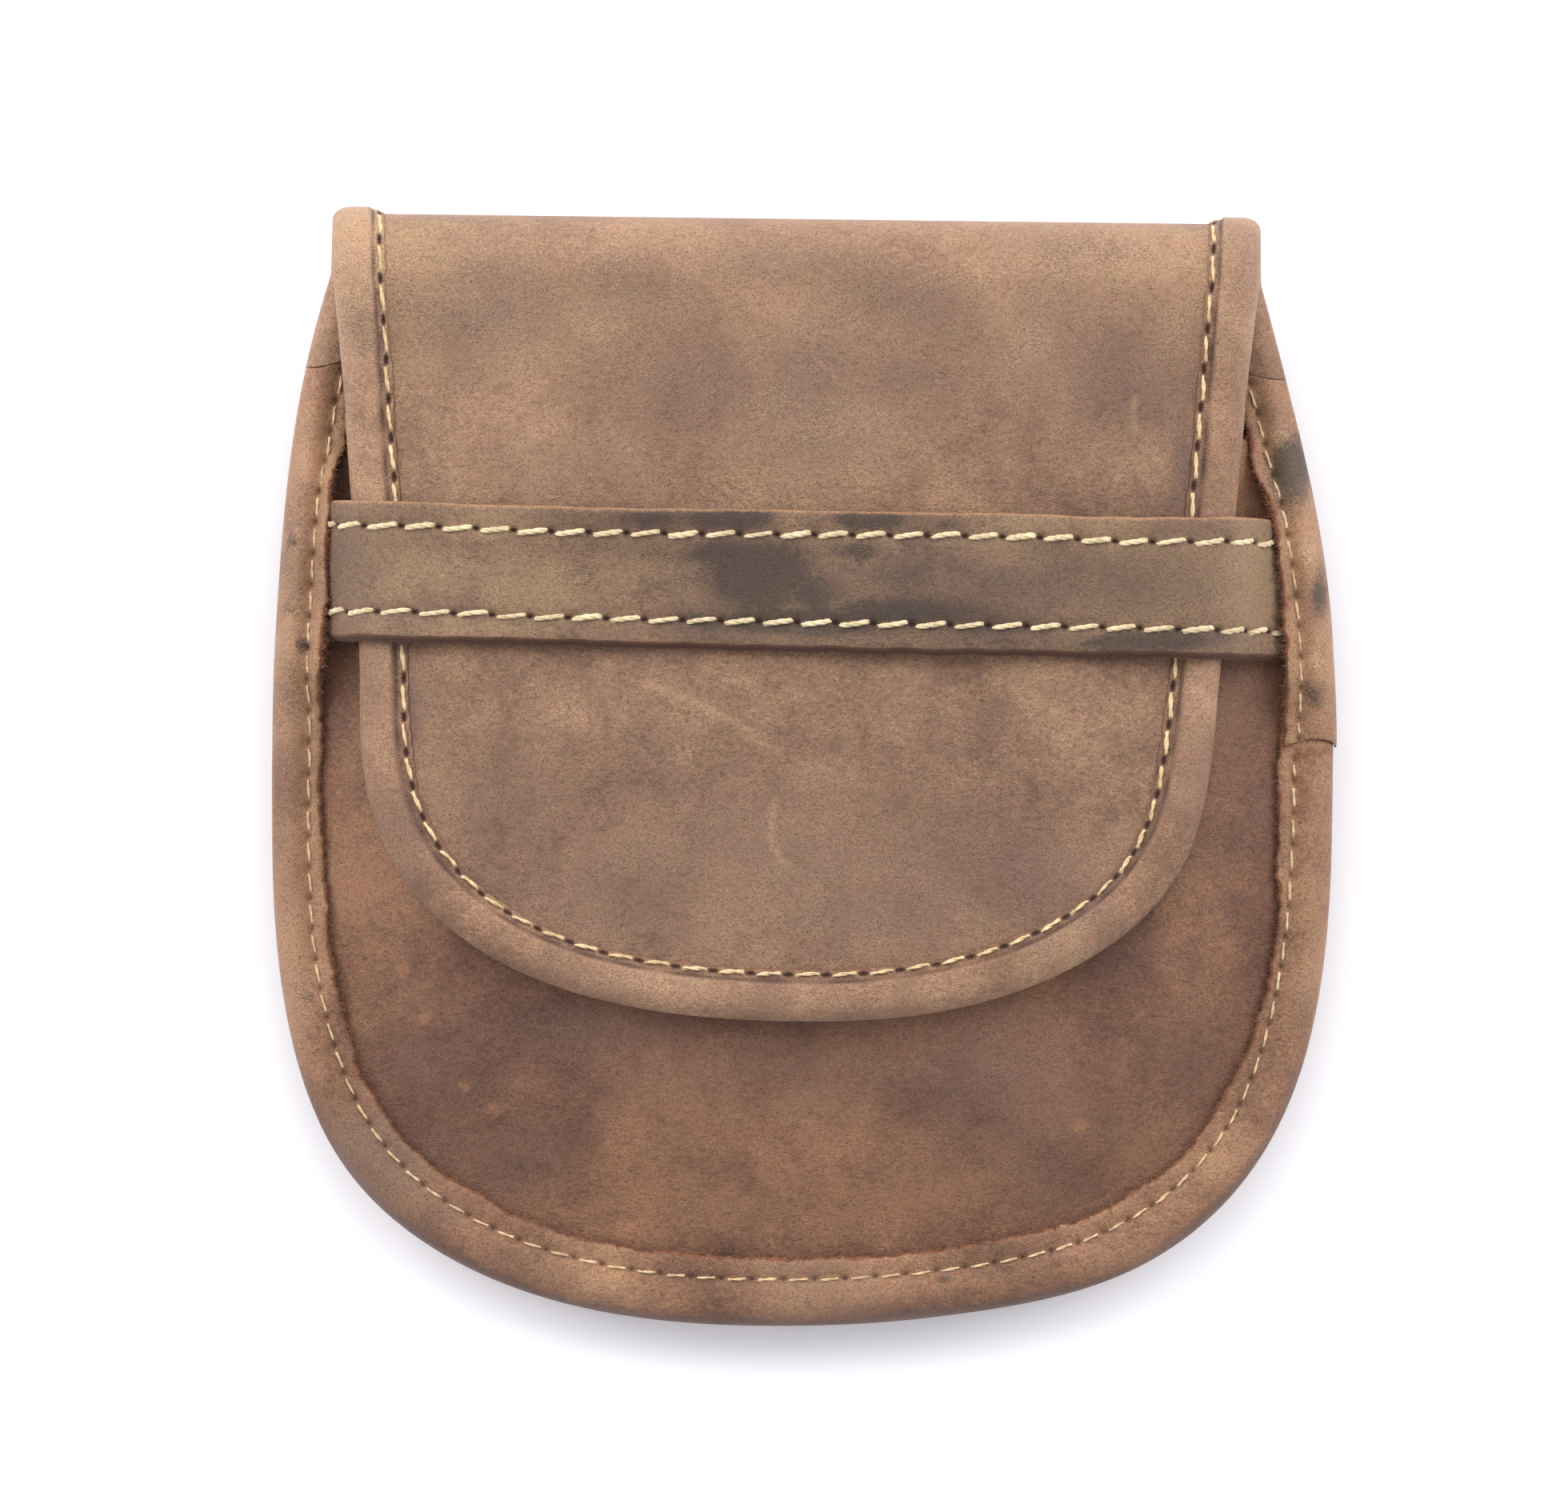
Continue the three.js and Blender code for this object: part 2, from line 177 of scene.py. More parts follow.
def lerp(a, b, t):
    return a + (b - a) * t


def smoothstep(v, low, high):
    t = clamp((v - low) / (high - low))
    return t * t * (3 - 2 * t)


def ease(t):
    rest = 1 - clamp(t)
    return 1 - rest * rest


def bell(v, width):
    return np.exp(-(v / width) ** 2)


def unit(v):
    return v / np.maximum(np.linalg.norm(v, axis=-1, keepdims=True), 1e-9)


def waves(x, y, seed, shortest, longest, count=10):
    rng = np.random.default_rng(seed)
    total = np.zeros(np.shape(x))
    for _ in range(count):
        length = shortest * (longest / shortest) ** rng.random()
        angle, phase = rng.random(2) * 2 * math.pi
        total = total + np.sin((x * math.cos(angle) + y * math.sin(angle)) * 2 * math.pi / length + phase)
    return total / math.sqrt(count / 2)


# Outlines
def round_half(shape, y, inset):
    depth = shape["widest"] - shape["tip"] - inset
    share = clamp((shape["widest"] - y) / depth)
    return (shape["half"] - inset) * (1 - share ** shape["power"]) ** (1 / shape["side"])


def round_points(shape, inset, count):
    angle = np.linspace(0, math.pi / 2, count)
    depth = shape["widest"] - shape["tip"] - inset
    half = (shape["half"] - inset) * np.sin(angle) ** (2 / shape["side"])
    y = shape["widest"] - depth * np.maximum(np.cos(angle), 0) ** (2 / shape["power"])
    return np.stack([half, y], 1)


def body_half(y, inset=0.0):
    share = clamp((y - BODY["widest"]) / (BODY_TOP_Y - BODY["widest"]))
    return round_half(BODY, y, inset) - (BODY["half"] - BODY_TOP_HALF) * share ** 2


def flap_half(y, inset=0.0):
    share = clamp((y - FLAP["widest"]) / (FLAP_TOP_Y - FLAP["widest"]))
    return round_half(FLAP, y, inset) + (FLAP_TOP_HALF - FLAP["half"]) * share ** FLAP_FLARE


def body_foot_y(x):
    share = clamp(np.abs(x) / BODY["half"])
    depth = BODY["widest"] - BODY["tip"]
    return BODY["widest"] - depth * (1 - share ** BODY["side"]) ** (1 / BODY["power"])


def body_axis(y):
    return FLAP_OFFSET_X * smoothstep(y, OFFSET_FROM_Y, OFFSET_TO_Y)


def lengths_along(points):
    spans = np.linalg.norm(np.diff(points, axis=0), axis=1)
    return np.concatenate([[0], np.cumsum(spans)])


def read_at(at, length, rows):
    return np.stack([np.interp(at, length, rows[:, k]) for k in range(rows.shape[1])], -1)


def evenly(points, step):
    length = lengths_along(points)
    at = np.linspace(0, length[-1], max(2, int(round(length[-1] / step)) + 1))
    return read_at(at, length, points)


def leftward(along):
    return np.stack([-along[:, 1], along[:, 0]], 1)


def both_sides(half, axis, y):
    """The right and the left half of an outline, both from the foot up."""
    return np.stack([axis + half, y], 1), np.stack([axis - half, y], 1)


# Widths of the seam binding
def seam_width_free(y):
    return lerp(SEAM_WIDTH_FOOT, SEAM_WIDTH_SIDE, smoothstep(y, SEAM_WIDE_Y, SEAM_NARROW_Y))


def strap_near(y):
    return 1 - smoothstep(np.abs(y - STRAP_Y), STRAP_LIFT_FULL, STRAP_LIFT_NONE)


def seam_width(y):
    share = lerp(SEAM_NARROW_LOW, 1.0, smoothstep(y, *SEAM_NARROW_RISE))
    return seam_width_free(y) - strap_near(y) * SEAM_STRAP_NARROWING * share


def seam_stitch_depth(point):
    x, y = point.T
    free = lerp(SEAM_STITCH_FOOT, SEAM_STITCH_SIDE, smoothstep(y, SEAM_WIDE_Y, SEAM_NARROW_Y))
    across = (x - STITCH_DIP_AT[0]) / STITCH_DIP_SPREAD[0]
    down = (y - STITCH_DIP_AT[1]) / STITCH_DIP_SPREAD[1]
    return free - STITCH_STRAP_RISE * strap_near(y) + STITCH_DIP * np.exp(-across ** 2 - down ** 2)


# Heights of the middle of each layer
def rest_warp(x, y):
    sink = clamp((FOOT_SINK_Y - y) / (FOOT_SINK_Y - BODY["tip"]))
    out = clamp((np.abs(x) - SIDE_LIFT_X) / (BODY["half"] - SIDE_LIFT_X))
    along = clamp(1 - ((y - STRAP_Y) / SIDE_LIFT_SPAN) ** 2)
    return SIDE_LIFT * out ** 2 * along - FOOT_SINK * sink ** 2


def seam_distance(x, y):
    half = np.where(y < BODY["widest"], BODY["half"], body_half(y))
    depth = BODY["widest"] - BODY["tip"]
    across = np.abs(x - body_axis(y)) / half
    down = clamp((BODY["widest"] - y) / depth)
    slope_x = BODY["side"] * across ** (BODY["side"] - 1) / half
    slope_y = BODY["power"] * down ** (BODY["power"] - 1) / depth
    inside = 1 - across ** BODY["side"] - down ** BODY["power"]
    return inside / np.maximum(np.hypot(slope_x, slope_y), 1e-6)


def front_rise(x, y):
    side = ease((seam_distance(x, y) - seam_width_free(y) - GAP) / FRONT_SIDE_RISE)
    foot = ease((y - body_foot_y(x) - SEAM_WIDTH_FOOT) / FRONT_FOOT_RISE)
    full = side * foot
    return FRONT_DEPTH * full + FRONT_WAVE * full * waves(x, y, 11, 24, 70)


def back_mid(x, y):
    return BACK_Z + PANEL / 2 + rest_warp(x, y)


def front_mid(x, y):
    return back_mid(x, y) + PANEL + GAP + front_rise(x, y)


def flap_mid(x, y):
    draped = front_mid(x, y) + PANEL + FLAP_ROOM
    at_fold = back_mid(x, np.full_like(y, FOLD_Y)) + 2 * FOLD_RADIUS
    free = smoothstep(y, FOLD_Y, FOLD_Y - FLAP_WAVE_FROM)
    drape = lerp(draped, at_fold, smoothstep(y, FLAP_DRAPE_Y, FOLD_Y))
    return drape + FLAP_WAVE * free * waves(x, y, 12, 18, 60)


# The cut pattern of the back and flap: s runs up the back, round the fold and down the flap
def flap_y(s):
    return FOLD_Y - (s - FOLD_LENGTH)


def by_stretch(s, back, fold, flap):
    """One value on the back, another on the fold, another on the flap."""
    return np.where(s <= 0, back, np.where(s >= FOLD_LENGTH, flap, fold))


def pattern_half(s, inset=0.0):
    fold = lerp(body_half(FOLD_Y, inset), flap_half(FOLD_Y, inset), clamp(s / FOLD_LENGTH))
    return by_stretch(s, body_half(FOLD_Y + s, inset), fold, flap_half(flap_y(s), inset))


def pattern_axis(s):
    return np.where(s <= 0, body_axis(FOLD_Y + s), FLAP_OFFSET_X)


def pattern_point(x, s):
    angle = clamp(s / FOLD_RADIUS, 0, math.pi)
    y = by_stretch(s, FOLD_Y + s, FOLD_Y + FOLD_RADIUS * np.sin(angle), flap_y(s))
    at_fold = np.full_like(x, FOLD_Y)
    fold_z = lerp(back_mid(x, at_fold), flap_mid(x, at_fold), (1 - np.cos(angle)) / 2)
    return np.stack([x, y, by_stretch(s, back_mid(x, y), fold_z, flap_mid(x, y))], -1)


def pattern_normal(x, s):
    step = 0.2
    across = pattern_point(x + step, s) - pattern_point(x - step, s)
    along = pattern_point(x, s + step) - pattern_point(x, s - step)
    return unit(np.cross(across, along))


# Places in the photograph
def place(px, py):
    u = (np.asarray(px, float) - PHOTO_CENTRE[0]) * PHOTO_MM
    v = (PHOTO_CENTRE[1] - np.asarray(py, float)) * PHOTO_MM
    c, s = math.cos(PHOTO_TURN), math.sin(PHOTO_TURN)
    return c * u - s * v + PHOTO_SHIFT[0], s * u + c * v + PHOTO_SHIFT[1]


def blobs(points, table):
    total = np.zeros(len(points))
    for px, py, half_w, half_h, turn, strength in table:
        x, y = place(px, py)
        c, s = math.cos(math.radians(turn)), math.sin(math.radians(turn))
        dx, dy = points[:, 0] - x, points[:, 1] - y
        a = (c * dx + s * dy) / (half_w * PHOTO_MM)
        b = (c * dy - s * dx) / (half_h * PHOTO_MM)
        total = np.maximum(total, strength * np.exp(-0.7 * (a * a + b * b)))
    return total


def scratch_paths(table):
    paths = []
    for width, strength, pixels in table:
        x, y = place(*np.array(pixels, float).T)
        paths.append((width, strength, evenly(np.stack([x, y], 1), 0.4)))
    return paths


def scratch_points(table):
    """Points on and beside every scratch, so that the mesh can show it."""
    rows = []
    for _, _, path in scratch_paths(table):
        across = leftward(unit(np.gradient(path, axis=0)))
        rows += [path + across * side for side in (-0.75, -0.35, 0.0, 0.35, 0.75)]
    return np.vstack(rows)


def scratches(points, table):
    total = np.zeros(len(points))
    for width, strength, path in scratch_paths(table):
        low, high = path.min(0) - 3, path.max(0) + 3
        near = np.all((points[:, :2] > low) & (points[:, :2] < high), axis=1)
        if near.any():
            gap = np.linalg.norm(points[near, None, :2] - path[None], axis=2)
            nearest = gap.argmin(1) / (len(path) - 1)
            fade = clamp(4 * nearest) * clamp(4 * (1 - nearest))
            total[near] = np.maximum(total[near], strength * fade * np.exp(-(gap.min(1) / width) ** 2))
    return total


# Flat shapes
CHUNK = 2500
NO_POINTS = np.zeros((0, 2))


def in_chunks(points, measure):
    """A measure of many points, taken some at a time to save memory."""
    return np.concatenate([measure(points[k:k + CHUNK]) for k in range(0, len(points), CHUNK)])


def edge_distance(points, loop):
    after = np.roll(loop, -1, 0) - loop
    square = (after ** 2).sum(1)

    def measure(part):
        p = part[:, None] - loop[None]
        t = clamp((p * after).sum(2) / square)
        return np.sqrt(((p - t[..., None] * after) ** 2).sum(2).min(1))
    return in_chunks(points, measure)


def inside_loop(points, loop):
    x, y = points.T
    result = np.zeros(len(points), bool)
    for (x0, y0), (x1, y1) in zip(loop, np.roll(loop, -1, 0)):
        if y0 != y1:
            result ^= ((y0 > y) != (y1 > y)) & (x < (x1 - x0) * (y - y0) / (y1 - y0) + x0)
    return result


def outward_of(loop):
    return -leftward(unit(np.roll(loop, -1, 0) - np.roll(loop, 1, 0)))


def hexagons(low, high, step):
    rows = np.arange(low[1], high[1], step * math.sqrt(3) / 2)
    points = []
    for k, y in enumerate(rows):
        xs = np.arange(low[0] + (k % 2) * step / 2, high[0], step)
        points.append(np.stack([xs, np.full_like(xs, y)], 1))
    return np.vstack(points)


def apart(points, others, gap):
    if len(others) == 0:
        return np.ones(len(points), bool)
    return in_chunks(points, lambda part: ((part[:, None] - others[None]) ** 2).sum(2).min(1) > gap * gap)


def dents(uv, holes, size):
    return in_chunks(uv, lambda part: np.exp(-(((part[:, None] - holes[None]) / size) ** 2).sum(2).min(1)))


def hole_mask(uv, holes, size):
    return smoothstep(dents(uv, holes, size), 0.25, 0.65)


def pit_points(holes, size):
    """Rings of points round every hole, so that the mesh can show its dent."""
    angle = np.arange(10) * math.pi / 5
    rings = [np.zeros((1, 2))]
    for share, turn in ((0.35, 0), (0.7, math.pi / 10), (1.05, 0), (1.45, math.pi / 10)):
        ring = np.stack([np.cos(angle + turn), np.sin(angle + turn)], 1)
        rings.append(share * ring * size)
    return (holes[:, None] + np.vstack(rings)[None]).reshape(-1, 2)


RIM_ROWS = (0.2, 0.5, 0.95)


def flat_mesh(loop, step, extra=NO_POINTS, fine_step=None, fine_where=None):
    rows = [loop - outward_of(loop) * d for d in RIM_ROWS]
    rows = [row[edge_distance(row, loop) > 0.85 * d] for row, d in zip(rows, RIM_ROWS)]
    if len(extra):
        extra = extra[inside_loop(extra, loop)]
        extra = extra[edge_distance(extra, loop) > 0.15]
        rows = [row[apart(row, extra, 0.2)] for row in rows]
    grid = hexagons(loop.min(0), loop.max(0), step)
    if fine_where is not None:
        fine = hexagons(loop.min(0), loop.max(0), fine_step)
        grid = np.vstack([grid[~fine_where(grid)], fine[fine_where(fine)]])
    grid = grid[inside_loop(grid, loop)]
    grid = grid[edge_distance(grid, loop) > RIM_ROWS[-1] + 0.45 * step]
    grid = grid[apart(grid, extra, 0.45 * (fine_step or step))]
    points = np.vstack([loop, *rows, extra, grid])
    made = delaunay_2d_cdt([Vector(p) for p in points.tolist()], [], [list(range(len(loop)))], 1, 1e-7)
    return np.array([v[:] for v in made[0]]), np.array(made[2])


# Meshes
MM = 0.001
LOOP_LOW, LOOP_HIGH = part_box("belt_loop")
LOOP_MIDDLE_Y = (LOOP_FROM_Y + LOOP_TO_Y) / 2
ROW_SHIFT = np.array([
    500 * (LOOP_LOW.x + LOOP_HIGH.x),
    500 * (LOOP_LOW.y + LOOP_HIGH.y) - LOOP_MIDDLE_Y,
    0.0,
])


def outward_faces(points, faces):
    a, b, c = points[faces[:, 0]], points[faces[:, 1]], points[faces[:, 2]]
    volume = (a * np.cross(b, c)).sum()
    return faces if volume > 0 else faces[:, ::-1]


# Where the real pouch lies off the even outline: centre, spread, lowest height and shift
SETTLED = [
    (48.0, 0.0, 15.0, 13.0, 9.0, -1.2, 0.1),
    (30.0, -22.0, 20.0, 12.0, 9.0, -0.4, 0.5),
    (-15.0, -28.0, 30.0, 12.0, 9.0, 0.1, 0.5),
    (24.0, -72.0, 18.0, 16.0, -9.0, -0.1, 0.9),
    (-58.0, -52.0, 16.0, 14.0, -9.0, -0.4, -0.35),
]


def settled(points):
    x, y, z = points.T
    moved = points.copy()
    for at_x, at_y, wide, tall, low, shift_x, shift_y in SETTLED:
        share = np.exp(-((x - at_x) / wide) ** 2 - ((y - at_y) / tall) ** 2) * smoothstep(z, low, low + 2)
        moved[:, 0] += shift_x * share
        moved[:, 1] += shift_y * share
    return moved


def linked(name, data):
    made = bpy.data.objects.new(name, data)
    bpy.context.scene.collection.objects.link(made)
    return made


def add_object(name, points, faces, material, masks=None):
    metres = (settled(points) + ROW_SHIFT) * MM
    faces = outward_faces(metres, faces)
    mesh = bpy.data.meshes.new(name)
    mesh.vertices.add(len(metres))
    mesh.vertices.foreach_set("co", metres.astype(np.float32).ravel())
    mesh.loops.add(3 * len(faces))
    mesh.loops.foreach_set("vertex_index", faces.astype(np.int32).ravel())
    mesh.polygons.add(len(faces))
    mesh.polygons.foreach_set("loop_start", np.arange(0, 3 * len(faces), 3, dtype=np.int32))
    mesh.update(calc_edges=True)
    mesh.validate()
    mesh.shade_smooth()
    for key, values in (masks or {}).items():
        attribute = mesh.attributes.new(key, "FLOAT", "POINT")
        attribute.data.foreach_set("value", np.asarray(values, np.float32))
    mesh.materials.append(material)
    made = linked(name, mesh)
    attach(made, "root")
    return made


RIM = np.array([0.6, 0.0, -0.6])
LEATHERS = {}


def leather(name, cad_node, slot, loop, surface, masks, step,
            extra=NO_POINTS, rim_bulge=0.18, soft_rim=None, **fine):
    """A skin on both sides of a cut piece, with a rounded rim; w runs from 1 outside to -1 inside."""
    flat, faces = flat_mesh(loop, step, extra, **fine)
    count, ring = len(flat), len(loop)
    border = edge_distance(flat, loop)
    border[:ring] = 0
    rims = [loop + outward_of(loop) * rim_bulge * (1 - w * w) for w in RIM]
    uv = np.vstack([flat, flat, *rims])
    soft = soft_rim(flat) if soft_rim else 1.0
    rounding = 1 - 0.3 * soft * (1 - clamp(border / 0.6)) ** 2
    w = np.concatenate([rounding, -rounding, np.repeat(0.7 * RIM, ring)])
    edge = np.concatenate([border, border, np.zeros(len(RIM) * ring)])
    points = surface(uv, w)
    rows = [np.arange(ring)]
    rows += [2 * count + k * ring + np.arange(ring) for k in range(len(RIM))]
    rows.append(count + np.arange(ring))
    parts = [faces, count + faces[:, ::-1]]
    for upper, lower in zip(rows, rows[1:]):
        upper_next, lower_next = np.roll(upper, -1), np.roll(lower, -1)
        parts.append(np.stack([upper, lower, lower_next], 1))
        parts.append(np.stack([upper, lower_next, upper_next], 1))
    made = add_object(name, points, np.vstack(parts), LEATHERS[slot], masks(uv, w, edge, points))
    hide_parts(cad_node)


def surface_frame(surface, uv):
    step = 0.15
    w = np.ones(len(uv))
    along = surface(uv + [step, 0], w) - surface(uv - [step, 0], w)
    across = surface(uv + [0, step], w) - surface(uv - [0, step], w)
    return surface(uv, w), unit(np.cross(along, across))


def stitch_run(surface, holes, gap, slant):
    """Stitches from hole to hole over a surface; gap is how far each end stays from its hole."""
    along = unit(holes[1:] - holes[:-1])
    sideways = leftward(along) * slant
    first, normal_a = surface_frame(surface, holes[:-1] + along * gap - sideways)
    last, normal_b = surface_frame(surface, holes[1:] - along * gap + sideways)
    return first, last, unit(normal_a + normal_b)


def tube_faces(count, rings, sides):
    first = np.arange(count)[:, None, None] * rings * sides
    row = np.arange(rings - 1)[None, :, None] * sides
    col = np.arange(sides)[None, None]
    a, b = first + row + col, first + row + (col + 1) % sides
    base = first[..., 0]
    last = base + (rings - 1) * sides
    fan = np.arange(1, sides - 1)[None]
    zero = 0 * fan
    parts = [
        (a, a + sides, b + sides), (a, b + sides, b),
        (base + zero, base + fan, base + fan + 1), (last + zero, last + fan + 1, last + fan),
    ]
    return np.vstack([np.stack(part, -1).reshape(-1, 3) for part in parts])


def stitches(name, runs, material, width, lift, sink, plies, turns, rings, sides, seed):
    """runs: list of (starts, ends, normals) in millimetres; each pair becomes one twisted stitch."""
    starts, ends, normals = (np.vstack(parts) for parts in zip(*runs))
    rng = np.random.default_rng(seed)
    count = len(starts)
    along = ends - starts
    length = np.linalg.norm(along, axis=1)
    e = unit(along)
    b = unit(np.cross(normals, e))
    n = np.cross(e, b)
    t = np.linspace(0, 1, rings)
    q = 2 * t - 1
    heights = lift * (1 + 0.25 * rng.standard_normal(count))
    rise = heights[:, None] * (1 - q ** 4) - sink * np.abs(q) ** 9
    slope = heights[:, None] * (-8 * q ** 3) - sink * 18 * np.sign(q) * np.abs(q) ** 8
    sway = 0.1 * width * rng.standard_normal(count)[:, None] * (1 - q * q)
    centre = starts[:, None] + along[:, None] * t[:, None]
    centre = centre + n[:, None] * rise[..., None] + b[:, None] * sway[..., None]
    m = unit(n[:, None] * length[:, None, None] - e[:, None] * slope[..., None])
    thick = width * (1 + 0.08 * rng.standard_normal(count))
    phase = rng.random(count) * 2 * math.pi
    strand = 2 * math.pi * np.arange(plies) / plies
    angle = phase[:, None, None] + strand[None, :, None] + 2 * math.pi * turns * t
    swell = 1 - 0.3 * np.abs(q) ** 6
    reach = (0.21 * thick)[:, None, None] * swell
    side = np.cos(angle) * reach
    up = 0.8 * np.sin(angle) * reach
    line = centre[:, None] + side[..., None] * b[:, None, None] + up[..., None] * m[:, None]
    turn = 2 * math.pi * np.arange(sides) / sides
    radius = (0.31 * thick)[:, None] * swell
    ring = np.cos(turn)[:, None] * b[:, None, None] + np.sin(turn)[:, None] * m[:, :, None]
    points = line[:, :, :, None] + (radius[..., None, None] * ring)[:, None]
    add_object(name, points.reshape(-1, 3), tube_faces(count * plies, rings, sides), material)


FIBRE_AT = np.array([0.0, 0.35, 0.7, 1.0])
FIBRE_TAPER = np.array([1.0, 0.85, 0.6, 0.2])


def fibres(name, roots, outward, material, length, radius, seed):
    rng = np.random.default_rng(seed)
    count = len(roots)
    upward = np.array([0.0, 0.0, 1.0])
    first = unit(0.8 * outward + 0.5 * upward + 0.9 * rng.standard_normal((count, 3)))
    bend = 0.8 * rng.standard_normal((count, 3)) - 0.35 * upward
    reach = length * (0.35 + rng.random(count) ** 2)
    t = FIBRE_AT[:, None]
    line = roots[:, None] + reach[:, None, None] * (first[:, None] * t + 0.5 * bend[:, None] * t ** 2)
    b = unit(np.cross(first, rng.standard_normal((count, 3))))
    c = np.cross(first, b)
    turn = 2 * math.pi * np.arange(3) / 3
    ring = np.cos(turn)[:, None] * b[:, None] + np.sin(turn)[:, None] * c[:, None]
    points = line[:, :, None] + ring[:, None] * (radius * FIBRE_TAPER)[:, None, None]
    add_object(name, points.reshape(-1, 3), tube_faces(count, len(FIBRE_AT), 3), material)


# Materials
SPECKLE = 1.6
ROUGHNESS = (0.5, 0.72)
# Painted shade: near-black brown laid into the stitch holes, the crease beside the flap binding's roll and
# the lines along the strap's cut edge
PAINTED_HOLE_AND_CREASE_SHADE = (48, 26, 17)
PINKER = (1.0, 0.962, 1.005, 1.0)
GREENER = (0.992, 1.04, 0.96, 1.0)


def tint(*levels):
    shares = [v / 255 for v in levels]
    linear = [v / 12.92 if v <= 0.04045 else ((v + 0.055) / 1.055) ** 2.4 for v in shares]
    return (*linear, 1.0)


def new_material(name):
    material = bpy.data.materials.new(name)
    material.use_nodes = True
    material.node_tree.nodes.clear()
    return material, material.node_tree


def node(tree, kind, inputs=None, **settings):
    made = tree.nodes.new(kind)
    for key, value in settings.items():
        setattr(made, key, value)
    for key, value in (inputs or {}).items():
        if isinstance(value, bpy.types.NodeSocket):
            tree.links.new(value, made.inputs[key])
        else:
            made.inputs[key].default_value = value
    return made


def calc(tree, operation, a, b, **settings):
    return node(tree, "ShaderNodeMath", {0: a, 1: b}, operation=operation, **settings).outputs[0]


def total(tree, start, *terms):
    """start, and every field times its share."""
    for field, share in terms:
        inputs = {0: field, 1: share, 2: start}
        start = node(tree, "ShaderNodeMath", inputs, operation="MULTIPLY_ADD").outputs[0]
    return start


def vector(tree, operation, a, b):
    return node(tree, "ShaderNodeVectorMath", {0: a, 1: b}, operation=operation).outputs[0]


def level(tree, value, low, high, to_low=0.0, to_high=1.0):
    inputs = {"Value": value, "From Min": low, "From Max": high, "To Min": to_low, "To Max": to_high}
    return node(tree, "ShaderNodeMapRange", inputs, interpolation_type="SMOOTHSTEP").outputs[0]


def mixed(tree, share, a, b):
    return node(tree, "ShaderNodeMix", {0: share, 6: a, 7: b}, data_type="RGBA").outputs[2]


def mask_of(tree, name):
    return node(tree, "ShaderNodeAttribute", attribute_name=name).outputs["Fac"]


def noise(tree, at, scale, detail, roughness, distortion=0.0):
    inputs = {"Vector": at, "Scale": scale, "Detail": detail}
    inputs |= {"Roughness": roughness, "Distortion": distortion}
    return node(tree, "ShaderNodeTexNoise", inputs).outputs["Fac"]


def broken(tree, name, low, high, *fields):
    """A mask with a ragged edge; where the mask is nought nothing shows."""
    mask = mask_of(tree, name)
    near = calc(tree, "MULTIPLY", mask, 5.0, use_clamp=True)
    ragged = total(tree, -0.5 * sum(share for _, share in fields), *fields)
    return level(tree, total(tree, mask, (ragged, near)), low, high)


def finished(tree, colour, rough, height, strength, distance, sheen):
    bump = node(tree, "ShaderNodeBump", {"Strength": strength, "Distance": distance, "Height": height})
    shader = node(tree, "ShaderNodeBsdfPrincipled", {
        "Base Color": colour, "Roughness": rough, "Normal": bump.outputs[0],
        "Specular IOR Level": 0.3, "Sheen Weight": sheen, "Sheen Roughness": 0.5,
    })
    node(tree, "ShaderNodeOutputMaterial", {0: shader.outputs[0]})


